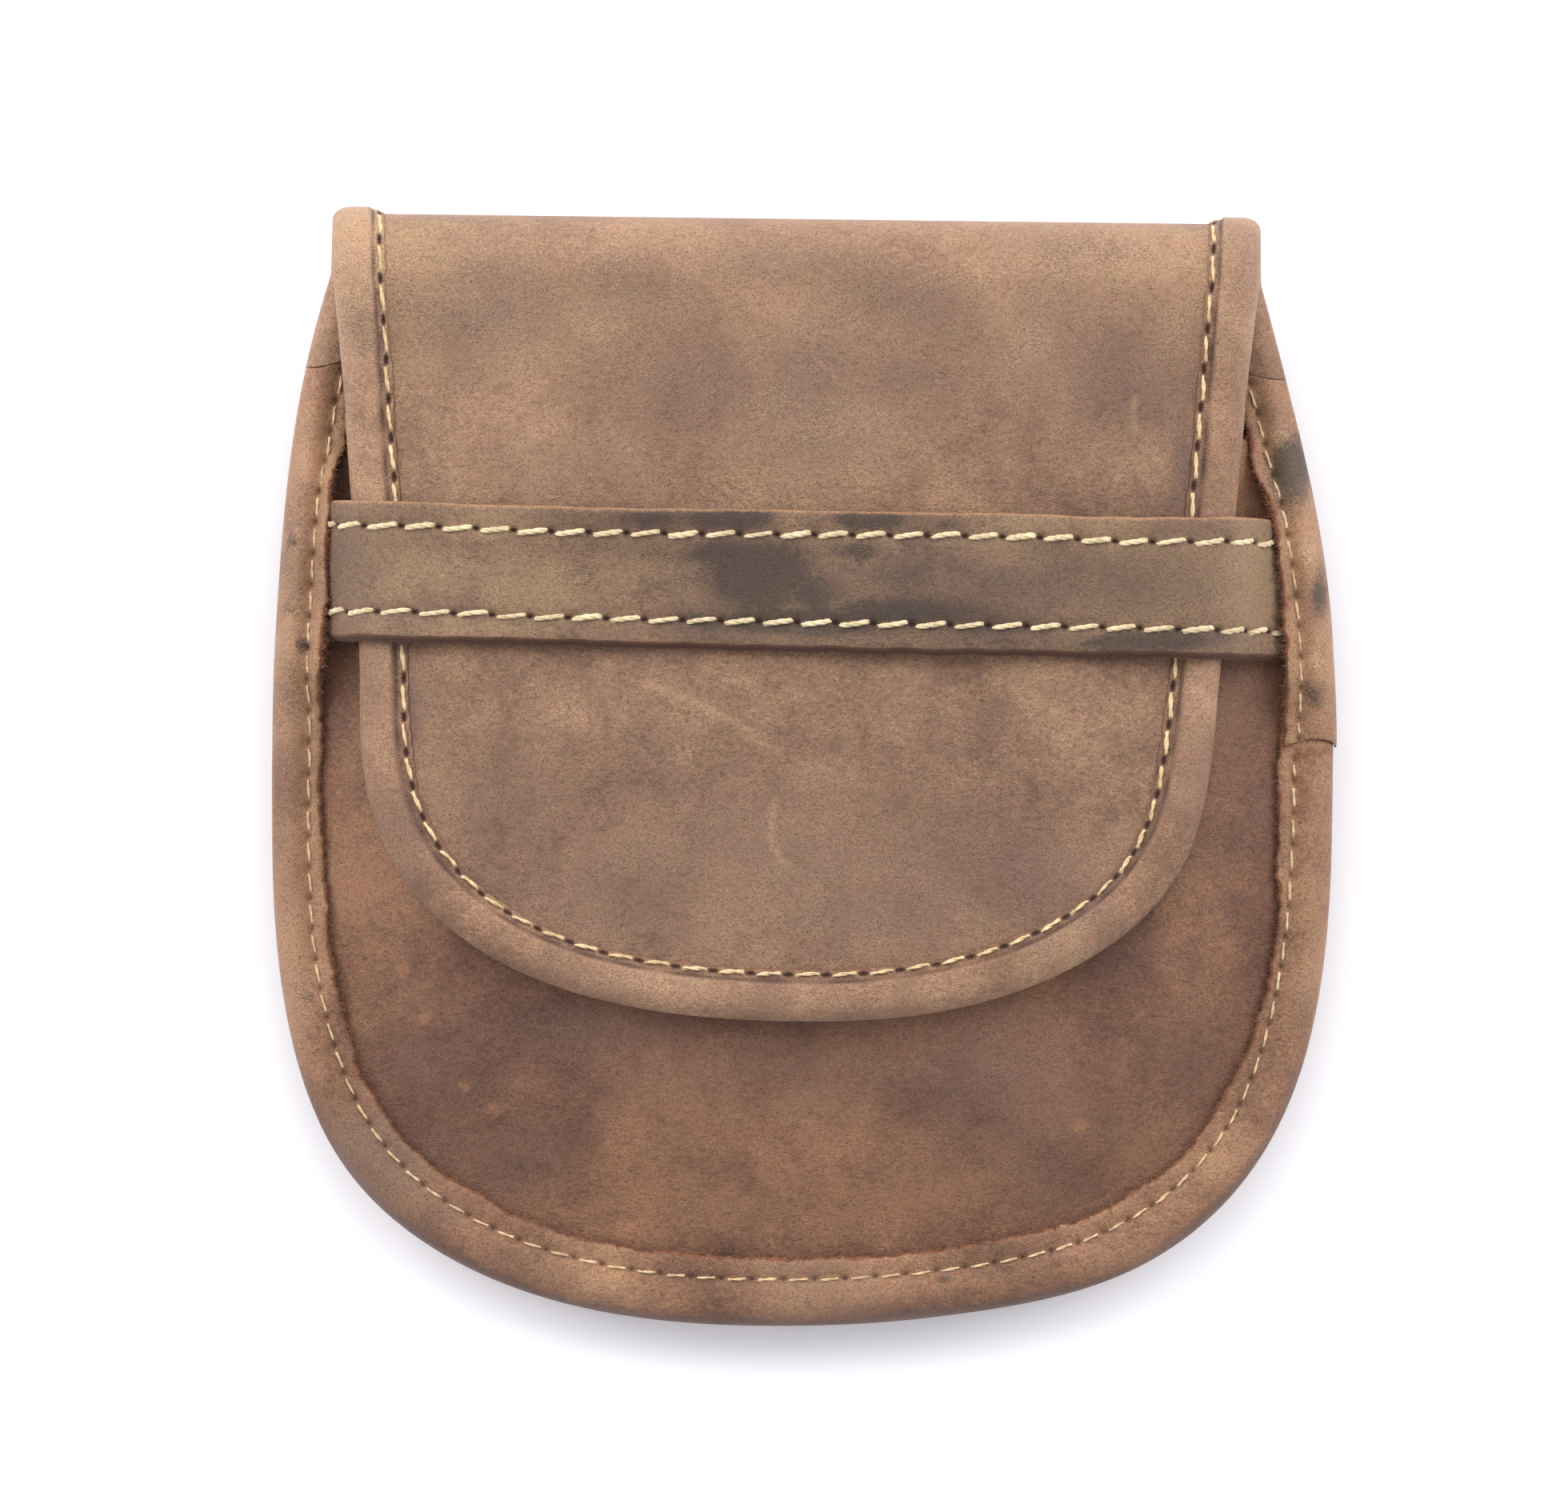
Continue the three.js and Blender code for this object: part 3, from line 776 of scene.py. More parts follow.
def add_leather(slot, dark, mid, light, seed, cloud=(88, 68, 64), stain=(56, 48, 43), raw=(122, 72, 46),
                pale=(172, 140, 108), pores=0.25, pore_scale=2400, grain=1.0):
    LEATHERS[slot], tree = new_material(slot)
    place_at = node(tree, "ShaderNodeTexCoord").outputs["Object"]
    moved = vector(tree, "ADD", place_at, (0.37 * seed, 0.53 * seed, 0.71 * seed))
    long_grain = vector(tree, "MULTIPLY", moved, (0.7, 1.0, 1.0))
    streaky = vector(tree, "MULTIPLY", moved, (0.4, 1.0, 1.0))
    broad = noise(tree, moved, 42, 3, 0.5, 0.4)
    mottle = noise(tree, moved, 190, 6, 0.66, 0.5)
    fine = noise(tree, long_grain, 1500, 4, 0.72, 0.6)
    speck = noise(tree, long_grain, 5600, 2, 0.7)
    fleck = noise(tree, streaky, 4200, 3, 0.65)
    cells = node(tree, "ShaderNodeTexVoronoi", {"Vector": moved, "Scale": pore_scale}, feature="F1")
    pits = level(tree, total(tree, -0.25, (cells.outputs["Distance"], 1.0), (fine, 0.5)), 0.34, 0.16)

    # The tone mask shifts the colour lighter or darker: the leather's own patches, and also painted light and
    # shade such as the fold's highlight, the shade on the rolls and at the seam's foot, and light painted
    # into shaded gaps
    tone = total(
        tree, -0.15, (broad, 0.5), (mottle, 0.42), (fine, 0.4), (fleck, 0.3), (mask_of(tree, "tone"), 0.25),
    )
    ramp = node(tree, "ShaderNodeValToRGB", {0: tone})
    stops = ramp.color_ramp.elements
    stops[0].position, stops[0].color = 0.5, tint(*dark)
    stops[1].position, stops[1].color = 0.82, tint(*light)
    stops.new(0.66).color = tint(*mid)
    colour = ramp.outputs["Color"]

    streak = calc(tree, "MULTIPLY", mask_of(tree, "scratch"), level(tree, fine, 0.25, 0.75, 0.65, 1.0))
    bare = broken(tree, "raw", 0.3, 0.7, (fine, 0.7), (mottle, 0.4))
    coats = (
        # Clouds darken towards the cloud colour: the leather's own dark clouds, and also painted shade under
        # the flap's edge, in the flap binding's crease and on the seam's underside at the foot
        (broken(tree, "cloud", 0.1, 1.0, (mottle, 1.2), (fine, 1.0), (fleck, 2.4)), 0.62, cloud),
        (broken(tree, "stain", 0.3, 1.0, (mottle, 1.6), (fine, 0.8), (fleck, 1.2)), 0.86, stain),
        # Wear lightens towards the pale colour: real wear and scuffs, and also painted light: the highlight
        # below the fold, the strap's lit top edge and a shaded gap on the front panel
        (broken(tree, "wear", 0.2, 0.8, (fine, 0.8), (speck, 0.4)), 0.7, pale),
        (streak, 0.6, pale),
        (bare, 0.85, raw),
        (pits, pores, [0.5 * v for v in dark]),
    )
    for share, amount, shade in coats:
        colour = mixed(tree, calc(tree, "MULTIPLY", share, amount), colour, tint(*shade))
    strength = level(tree, mottle, 0.3, 0.7, 0.6 * SPECKLE, 1.4 * SPECKLE)
    grains = total(tree, 1.0, (calc(tree, "SUBTRACT", speck, 0.5), strength))
    scaled = node(tree, "ShaderNodeVectorMath", {0: colour, "Scale": grains}, operation="SCALE")
    hue = level(tree, noise(tree, moved, 300, 6, 0.78, 0.4), 0.3, 0.7)
    colour = vector(tree, "MULTIPLY", scaled.outputs[0], mixed(tree, hue, PINKER, GREENER))
    # The hole mask paints shade: it darkens the stitch holes and the creases towards the hole colour and
    # makes them rough
    hole = mask_of(tree, "hole")
    colour = mixed(tree, hole, colour, tint(*PAINTED_HOLE_AND_CREASE_SHADE))

    rough = level(tree, total(tree, mottle, (bare, 0.5)), 0.3, 0.75, *ROUGHNESS)
    height = total(tree, 0.0, (fine, 0.9), (pits, -0.35), (speck, 0.4), (mottle, 0.6))
    finished(tree, colour, calc(tree, "MAXIMUM", rough, hole), height, 0.7, 0.00022 * grain, 0.06)


def thread_material(name, shade, light):
    material, tree = new_material(name)
    place_at = node(tree, "ShaderNodeTexCoord").outputs["Object"]
    lint = noise(tree, place_at, 2600, 3, 0.7)
    dirt = noise(tree, place_at, 260, 3, 0.6)
    tone = level(tree, total(tree, 0.0, (lint, 0.6), (dirt, 0.55)), 0.4, 0.75)
    colour = mixed(tree, tone, tint(*shade), tint(*light))
    finished(tree, colour, level(tree, dirt, 0.3, 0.7, 0.55, 0.75), lint, 0.4, 0.00006, 0.15)
    return material


add_leather("flap_leather", (94, 69, 55), (124, 93, 74), (148, 116, 91), 1)
add_leather(
    "front_leather", (79, 51, 41), (107, 73, 56), (133, 95, 71), 2, pale=(166, 114, 82),
)
add_leather(
    "seam_binding_leather", (93, 65, 50), (125, 89, 68), (150, 114, 87), 3, pores=0.3, raw=(114, 69, 45),
)
add_leather(
    "flap_binding_leather", (110, 80, 62), (137, 103, 81), (161, 128, 102), 4,
    pores=0.38, pore_scale=3500, grain=1.1,
)
add_leather(
    "strap_leather", (74, 56, 46), (104, 79, 63), (130, 104, 80), 5,
    cloud=(78, 60, 49), stain=(53, 43, 38), raw=(76, 45, 32), pale=(165, 120, 86),
)
add_leather("loop_leather", (78, 54, 43), (104, 75, 59), (126, 96, 74), 6)
STRAP_THREAD = thread_material("strap_thread", (172, 152, 118), (216, 198, 162))
FLAP_THREAD = thread_material("flap_thread", (176, 150, 110), (218, 194, 152))
SEAM_THREAD = thread_material("seam_thread", (172, 144, 108), (214, 188, 148))
FIBRE = thread_material("raw_fibre", (90, 51, 33), (146, 92, 60))


# Tables of places in the photograph's pixels: across, down, half width, half height, turn, strength

# Back and flap
BACK_STEP = 1.7
FRONT_STEP = 1.15
FLAP_CLOUDS = [
    (610, 385, 120, 65, 10, 0.7), (790, 360, 90, 45, 0, 0.6), (965, 325, 120, 35, 0, 0.6),
    (1125, 375, 110, 50, -15, 0.65), (880, 480, 140, 65, 0, 0.6), (1130, 480, 120, 55, 0, 0.55),
    (1390, 460, 150, 80, 0, 0.6), (720, 590, 110, 40, 0, 0.4), (1000, 1070, 230, 80, 0, 0.55),
    (800, 1100, 160, 80, 0, 0.5), (1250, 1090, 160, 70, -10, 0.6), (640, 1000, 80, 80, 0, 0.5),
    (1010, 560, 90, 35, 0, 0.6), (1010, 480, 70, 75, 0, 0.75), (1330, 312, 90, 28, 0, 0.6),
    (1310, 390, 60, 90, 0, 0.5), (1100, 1140, 140, 50, 0, 0.6),
]
FLAP_LIGHTS = [
    (510, 400, 60, 90, 0, 0.8), (830, 870, 170, 50, 5, 0.55), (1420, 600, 60, 50, 0, 0.7),
    (560, 360, 60, 50, 0, 0.5), (1490, 390, 50, 60, 0, 0.6),
]
FLAP_DARKS = [(1390, 820, 90, 50, 0, 0.4), (1400, 560, 70, 90, 0, 0.35)]
FLAP_SCRATCHES = [
    (0.45, 0.6, [(770, 845), (830, 862), (890, 888), (940, 915), (972, 942)]),
    (0.35, 0.4, [(905, 905), (950, 930), (1000, 945)]),
    (0.45, 0.55, [(975, 980), (964, 1015), (964, 1050), (975, 1075), (1003, 1095)]),
    (0.4, 0.5, [(1416, 487), (1415, 520), (1418, 548)]),
    (0.25, 0.5, [(585, 352), (594, 364), (606, 382)]),
    (0.25, 0.4, [(1010, 440), (1040, 470), (1060, 492)]),
    (0.3, 0.35, [(460, 330), (520, 338), (590, 340)]),
]
FLAP_RUBBED = [(1478, 585, 13, 60, 4, 1.0), (516, 890, 12, 45, 0, 0.9)]


def cut_edge(inset):
    """Half outline of the back and flap in pattern coordinates, from the foot to the tip of the flap."""
    foot = round_points(BODY, inset, 400)
    foot_s = foot[:, 1] - FOLD_Y
    up = np.arange(BODY["widest"] - FOLD_Y, FOLD_LENGTH + FOLD_Y - FLAP["widest"], 0.25)
    tip = round_points(FLAP, inset, 400)[::-1]
    tip_s = FOLD_LENGTH + FOLD_Y - tip[:, 1]
    s = np.concatenate([foot_s, up[1:], tip_s[1:]])
    half = np.concatenate([foot[:, 0], pattern_half(up[1:], inset), tip[1:, 0]])
    return both_sides(half, pattern_axis(s), s)


def back_and_flap_surface(uv, w):
    x, s = uv.T
    return pattern_point(x, s) - pattern_normal(x, s) * (w * PANEL / 2)[:, None]


def back_and_flap_masks(uv, w, edge, points):
    x, s = uv.T
    front = (w > 0) & (s > 0)
    inside = (w <= 0).astype(float)
    # Painted highlight: lighter just below the flap's fold, where the curve faces the light; it goes into the
    # tone and wear masks
    painted_fold_highlight = bell(s - 0.8 * FOLD_LENGTH, 9.0)
    down = smoothstep(s, FOLD_LENGTH, FOLD_LENGTH + 90)
    rubbed = blobs(points, FLAP_RUBBED)
    spots = 0.9 * blobs(points, FLAP_LIGHTS) - 0.9 * blobs(points, FLAP_DARKS)
    behind = (s <= 0) * (0.35 + 0.25 * waves(x, s, 31, 20, 50))
    return {
        "tone": front * (0.45 * painted_fold_highlight + 0.05 - 0.15 * down + spots) - 0.5 * inside,
        "cloud": front * np.maximum(blobs(points, FLAP_CLOUDS), 1.1 * rubbed) + behind,
        "wear": front * 0.25 * painted_fold_highlight,
        "scratch": front * scratches(points, FLAP_SCRATCHES),
        "raw": np.maximum(1 - clamp(edge / 0.4), 0.3 * front * rubbed),
    }


right, left = cut_edge(EDGE_INSET)
loop = evenly(np.vstack([right, left[::-1][1:]]), 1.0)[:-1]
flap_lines = scratch_points(FLAP_SCRATCHES)
flap_lines[:, 1] = FOLD_LENGTH + FOLD_Y - flap_lines[:, 1]
leather(
    "back_and_flap_leather", "back_and_flap", "flap_leather", loop, back_and_flap_surface,
    back_and_flap_masks, BACK_STEP, extra=flap_lines, fine_step=FRONT_STEP, fine_where=lambda p: p[:, 1] > 2,
)

# Front panel
FRONT_SCRATCHES = [
    (0.6, 0.9, [(760, 1548), (785, 1536), (808, 1519)]),
    (0.75, 0.9, [(527, 1264), (532, 1282)]),
    (0.65, 0.7, [(610, 1375), (625, 1395)]),
    (0.6, 0.7, [(1340, 1415), (1362, 1402)]),
    (0.6, 0.7, [(575, 1350), (588, 1362)]),
    (0.8, 0.5, [(500, 1205), (508, 1220)]),
    (0.6, 0.5, [(1205, 1470), (1228, 1482)]),
]
# Lighter patches on the front panel; the one at (1585, 590) is painted light, lifting the shade in the gap
# between the flap's roll and the seam at the upper right
FRONT_LIGHTS = [
    (440, 1130, 50, 110, 10, 1.0), (495, 1110, 45, 70, 0, 0.9), (1000, 1440, 330, 30, 0, 0.3),
    (830, 1370, 60, 90, -30, 0.3), (1330, 1360, 60, 60, 0, 0.4), (1500, 1180, 60, 110, 0, 0.6),
    (1000, 1510, 330, 45, 0, 0.75), (440, 900, 30, 160, 0, 0.5), (1585, 590, 30, 70, 0, 2.0),
    (1450, 1440, 70, 50, 0, 0.6),
]
# Darker patches on the front panel, with a painted shadow of the flap along its lower edge and in the gaps
# beside its sides
FRONT_DARKS_AND_FLAP_SHADOW = [
    (560, 1330, 90, 70, 20, 0.6), (640, 1450, 90, 50, 30, 0.6), (1300, 1480, 120, 50, -20, 0.5),
    (1480, 1340, 60, 80, 0, 0.5), (760, 1290, 130, 35, 0, 0.7), (540, 1440, 60, 45, 30, 0.6),
    (1230, 1340, 120, 65, 0, 0.8), (1240, 1290, 120, 40, 0, 0.6), (1000, 1340, 260, 50, 0, 0.55),
    (1390, 1200, 50, 40, 40, 0.6), (1300, 1390, 140, 80, 0, 0.6), (1545, 870, 45, 90, 0, 0.55),
    (1590, 1010, 40, 60, 0, 0.5),
]
# Painted light at the same gap, given once more through the wear mask
FRONT_PAINTED_LIGHT = [(1585, 590, 25, 70, 0, 1.0)]


def front_surface(uv, w):
    x, y = uv.T
    step = 0.2
    slope_x = (front_mid(x + step, y) - front_mid(x - step, y)) / (2 * step)
    slope_y = (front_mid(x, y + step) - front_mid(x, y - step)) / (2 * step)
    normal = unit(np.stack([-slope_x, -slope_y, np.ones_like(x)], 1))
    return np.stack([x, y, front_mid(x, y)], 1) + normal * (w * PANEL / 2)[:, None]


def front_masks(uv, w, edge, points):
    front = (w > 0).astype(float)
    return {
        "tone": front * 0.8 * blobs(points, FRONT_LIGHTS) - 0.1,
        # Dark patches and the flap's painted shadow
        "cloud": front * 0.9 * blobs(points, FRONT_DARKS_AND_FLAP_SHADOW),
        # Painted light in the shaded gap at the upper right
        "wear": 0.6 * front * blobs(points, FRONT_PAINTED_LIGHT),
        "scratch": front * scratches(points, FRONT_SCRATCHES),
        "raw": 1 - clamp(edge / 0.4),
    }


def body_side(top_y, inset):
    """Half widths and heights of the body's outline, from the foot up to a height."""
    up = np.arange(BODY["widest"] + 0.25, top_y + 0.01, 0.25)
    return np.vstack([round_points(BODY, inset, 500), np.stack([body_half(up, inset), up], 1)])


side = body_side(FRONT_TOP_Y, EDGE_INSET)
right, left = both_sides(side[:, 0], body_axis(side[:, 1]), side[:, 1])
top = np.linspace(right[-1], left[-1], 400)
top_out = np.abs(top[:, 0] - body_axis(FRONT_TOP_Y))
top[:, 1] = FRONT_TOP_Y - FRONT_CORNER_DROP * smoothstep(top_out, 42, 58)
keep = side[:, 1] < top[0, 1]
loop = evenly(np.vstack([right[keep], top, left[keep][::-1]]), 1.0)[:-1]
leather(
    "front_panel_leather", "front_panel", "front_leather", loop, front_surface, front_masks, FRONT_STEP,
    extra=scratch_points(FRONT_SCRATCHES),
)


# Runs of the bindings
class Run:
    """A flat line with its length and its inward direction at every length."""

    def __init__(self, points, inward_sign):
        self.points = evenly(points, 0.25)
        self.length = lengths_along(self.points)
        kernel = np.hanning(9) / np.hanning(9).sum()
        padded = np.pad(np.gradient(self.points, axis=0), ((4, 4), (0, 0)), mode="edge")
        along = unit(np.stack([np.convolve(padded[:, k], kernel, "valid") for k in range(2)], 1))
        self.inward = inward_sign * leftward(along)

    def at(self, l):
        return read_at(l, self.length, self.points), unit(read_at(l, self.length, self.inward))

    def length_at(self, target):
        return self.length[np.linalg.norm(self.points - target, axis=1).argmin()]


def straight_at(l):
    return lambda c: l + 0 * np.asarray(c)


def strip_side(start, end, edge, step):
    near_start, near_end = edge(np.array([start(0.0), end(0.0)], float))
    first, last = float(start(near_start)), float(end(near_end))
    l = np.linspace(first, last, int((last - first) / step) + 1)
    return np.stack([l, edge(l)], 1)


def strip_loop(start, end, low_edge, high_edge, step):
    """start and end give the length at which the strip ends, for every place across it."""
    low = strip_side(start, end, low_edge, step)
    high = strip_side(start, end, high_edge, step)[::-1]
    rise = np.linspace(0, 1, int((high[0, 1] - low[-1, 1]) / step) + 1)[1:-1]
    end_c = lerp(low[-1, 1], high[0, 1], rise)
    start_c = lerp(high[-1, 1], low[0, 1], rise)
    return np.vstack([low, np.stack([end(end_c), end_c], 1), high, np.stack([start(start_c), start_c], 1)])


def wander(l, seed, amount, shortest=2.0, longest=18.0):
    return amount * waves(l, 0 * l, seed, shortest, longest, 14)


def folded(c, skin, bend, arc):
    """Depth in from the edge and side, for a strip folded over an edge; c runs across the strip."""
    angle = clamp(c / arc, -1, 1) * math.pi / 2
    leg = np.maximum(np.abs(c) - arc, 0)
    return np.where(leg > 0, bend + leg, bend - (bend - skin) * np.cos(angle)), np.sin(angle)


# Seam binding
STRIP_STEP = 0.55
SEAM_STEP = 0.68
SEAM_PIT = (0.6, 0.45)
SEAM_HOLE = (0.42, 0.25)
SEAM_PITCH = 4.2
SEAM_FIRST = 3.7
side = evenly(body_side(SEAM_RUN_TOP_Y, 0), 0.2)
right, left = both_sides(side[:, 0], body_axis(side[:, 1]), side[:, 1])
SEAM = Run(np.vstack([left[::-1], right[1:]]), 1.0)
JOINT_L = SEAM.length_at(np.array([BODY["half"], JOINT_Y]))
SEAM_END = SEAM.length[-1]
going_down = SEAM.points[:200]
SEAM_TOP_L = np.interp(-FLAP_RUN_FROM_Y, -going_down[:, 1], SEAM.length[:200])
SEAM_STAINS = [
    (1616, 586, 31, 52, -8, 1.2), (1648, 745, 15, 48, -5, 0.85), (1642, 868, 22, 20, 0, 0.65),
    (1655, 810, 8, 20, 0, 0.6), (1390, 1540, 10, 7, 20, 0.75), (1320, 1585, 10, 7, 10, 0.75),
    (1180, 1606, 12, 7, 0, 0.7), (1010, 1632, 10, 6, 0, 0.6), (371, 680, 14, 9, 0, 0.7),
    (378, 806, 10, 12, 0, 0.85), (392, 700, 5, 4, 0, 0.6), (365, 760, 8, 10, 0, 0.55),
    (674, 1570, 12, 7, -20, 0.65), (1560, 1380, 10, 16, 20, 0.6), (385, 1250, 9, 12, 0, 0.5),
    (1610, 480, 14, 12, 0, 0.5),
]
SEAM_SCUFFS = [
    (1632, 690, 16, 26, 0, 0.6), (1640, 825, 16, 12, 0, 0.6), (1598, 545, 16, 22, 0, 0.5),
    (1655, 640, 8, 40, 0, 0.4),
]
# Lighter patches on the seam; the two beside the strap's right end are painted light on the seam where it
# lies in shade
SEAM_LIGHTS = [
    (1605, 690, 40, 60, 0, 0.3), (1600, 800, 40, 40, 0, 0.4), (375, 850, 40, 60, 0, 1.2),
    (390, 1200, 40, 80, 0, 0.8), (1640, 1150, 30, 70, 0, 0.5), (1490, 1510, 60, 40, 40, 0.35),
]
# Dark clouds on the seam binding; the ones at (1010, 1600) and (1080, 1640), along the foot's lower rim, are
# painted shade where the seam curves under
SEAM_CLOUDS_AND_FOOT_SHADE = [
    (362, 680, 30, 120, 0, 0.6), (354, 920, 24, 130, 0, 0.55), (356, 1110, 18, 60, 0, 0.4),
    (372, 1230, 20, 40, 10, 0.35), (475, 1450, 65, 60, 30, 1.3), (1010, 1600, 70, 45, 0, 0.6),
    (540, 1520, 50, 30, 30, 0.7), (660, 1580, 60, 20, -20, 0.45), (1080, 1640, 80, 16, 0, 0.5),
    (1648, 1150, 14, 70, 0, 0.25), (1630, 1260, 18, 40, 0, 0.5), (1600, 520, 30, 30, 0, 0.4),
]


def flap_end(c):
    return FLAP_RUN_SLANT * (np.asarray(c) / FLAP_SLANT_AT) ** 2


def seam_top(c):
    """Where the seam binding ends at its top, just short of the slanting end of the flap binding."""
    c = np.abs(np.asarray(c, float))
    on_leg = c - BEND_ARC + SEAM_BEND - FLAP_BINDING_BEND + FLAP_BEND_ARC
    return SEAM_TOP_L - flap_end(np.where(c < BEND_ARC, c * FLAP_BEND_ARC / BEND_ARC, on_leg))


def joint_end(c):
    arch = 1 - (2 * np.abs(np.asarray(c)) / (BEND_ARC + SEAM_WIDTH_SIDE - SEAM_BEND) - 1) ** 2
    return JOINT_L + JOINT_SHIFT + 1.1 * arch


def seam_edge(sign, seed):
    def edge(l):
        point, _ = SEAM.at(l)
        width = seam_width(point[:, 1]) + wander(l, seed, 0.15) + wander(l, seed + 1, 0.1, 20, 60)
        return sign * (BEND_ARC + (width + wander(l, seed + 7, 0.06, 0.9, 2.6)) - SEAM_BEND)
    return edge


seam_back_edge, seam_front_edge = seam_edge(-1, 51), seam_edge(1, 53)


def seam_from_edge(l, c):
    return np.where(c > 0, seam_front_edge(l) - c, c - seam_back_edge(l))


def seam_soft_rim(uv):
    point, _ = SEAM.at(uv[:, 0])
    return 1 - smoothstep(point[:, 1], BUTT_FROM_Y, BUTT_FROM_Y + 2)


def seam_stitch_c(l):
    return BEND_ARC + seam_stitch_depth(SEAM.at(l)[0]) - SEAM_BEND


def seam_surface_of(is_short, holes, dented=True):
    def surface(uv, w):
        l, c = uv.T
        point, inward = SEAM.at(l)
        y_run = point[:, 1]
        proud = JOINT_STEP * (1 - smoothstep(y_run, JOINT_Y, JOINT_Y + JOINT_LENGTH)) if is_short else 0 * l
        skived = smoothstep(l, JOINT_L + JOINT_SHIFT, JOINT_L + JOINT_SHIFT + LAP_SKIVE)
        outer = 0 * l if is_short else LAP_DEPTH * skived
        inner = lerp(JOINT_TIP, BINDING, skived) if is_short else BINDING + 0 * l
        skin = lerp(outer, inner, (1 - w) / 2)
        depth, side = folded(c, skin, SEAM_BEND, BEND_ARC)
        at = point + inward * (depth - proud)[:, None]
        x, y = at.T
        low = back_mid(x, y) - PANEL / 2
        top = lerp(front_mid(x, y), back_mid(x, y), smoothstep(y_run, *SEAM_CLOSE_Y))
        high = top + PANEL / 2 + (STRAP + STRAP_ROOM) * strap_near(y)
        reach = (high - low) / 2 + SEAM_ROOM + BINDING - skin + proud
        stitch = seam_stitch_depth(point)
        free = 1 - smoothstep(y_run, BUTT_FROM_Y, FLAP_RUN_FROM_Y)
        puff = 0.35 * np.sin(math.pi * clamp((depth - 0.6) / (stitch - 0.6))) ** 2
        channel = 0.28 * free * bell(depth - stitch, 0.7)
        lift = 0.06 * smoothstep(depth, stitch + 0.3, stitch + 2.0) * (1 + waves(l, c, 41, 5, 25))
        press = SEAM_PRESS * smoothstep(depth, stitch + 0.2, stitch + 1.4)
        lip = np.where(point[:, 0] < 0, SEAM_LIP, 0.6 * SEAM_LIP)
        lip = lip * smoothstep(depth, stitch - 0.2, seam_width(y_run) + 0.2)
        press = lerp(press, -lip, strap_near(y_run) * (c > 0))
        soft = 0.12 * waves(l, 0.7 * c, 42, 7, 30)
        outside = clamp((1 + w) / 2)
        cut = 0.25 * outside * (1 - clamp(seam_from_edge(l, c) / SEAM_CUT)) ** 1.5
        extra = np.abs(side) * (puff - channel + (lift + soft - press) * free) - cut
        if dented:
            extra = extra - SEAM_DENT * outside * dents(uv, holes, SEAM_PIT)
        return np.stack([x, y, (low + high) / 2 + side * (reach + extra)], 1)
    return surface


def seam_masks_of(is_short, holes):
    def masks(uv, w, edge, points):
        l, c = uv.T
        x, y, _ = points.T
        outside = (w > 0).astype(float)
        front = outside * (c > -1)
        from_joint = l - JOINT_L - JOINT_SHIFT + (0 if is_short else 0.6 + 0.5 * waves(c, 0.4 * l, 47, 2, 9))
        joint = bell(from_joint, 0.5 if is_short else 0.9)
        fray_width = 0.42 + 0.25 * waves(l, 0.5 * c, 43, 2, 12) + 0.25 * strap_near(y)
        frayed = 1 - clamp(seam_from_edge(l, c) / np.maximum(0.15, fray_width))
        # Lighter up the sides than at the foot, painted light from above; more so on the left
        high = np.where(x > 0, 0.3, 0.55) * smoothstep(y, -25, 12)
        # Painted shade on the seam's outer face at the foot, where it curves down and under, away from the
        # light
        painted_underside_shade = smoothstep(-y, 30, 60) * (1 - smoothstep(c, 0.5, 4.0))
        worn_rim = (1 - painted_underside_shade) * bell(c + 0.4, 1.6) * (0.35 + 0.3 * waves(l, 0 * l, 44, 8, 40))
        tone = 0.1 + 0.25 * waves(l, c, 45, 14, 60) + high - 1.3 * painted_underside_shade + blobs(points, SEAM_LIGHTS)
        behind = 0.3 + 0.2 * waves(l, c, 46, 10, 40)
        return {
            "tone": front * tone - 0.3 * (1 - outside),
            "cloud": np.where(c > -1, outside * blobs(points, SEAM_CLOUDS_AND_FOOT_SHADE), behind),
            "stain": front * blobs(points, SEAM_STAINS),
            "wear": outside * np.maximum(clamp(worn_rim), front * blobs(points, SEAM_SCUFFS)),
            "raw": np.maximum(np.maximum(frayed, 1 - outside), joint * 0.55 * outside),
            "hole": outside * 0.4 * hole_mask(uv, holes, SEAM_HOLE),
        }
    return masks


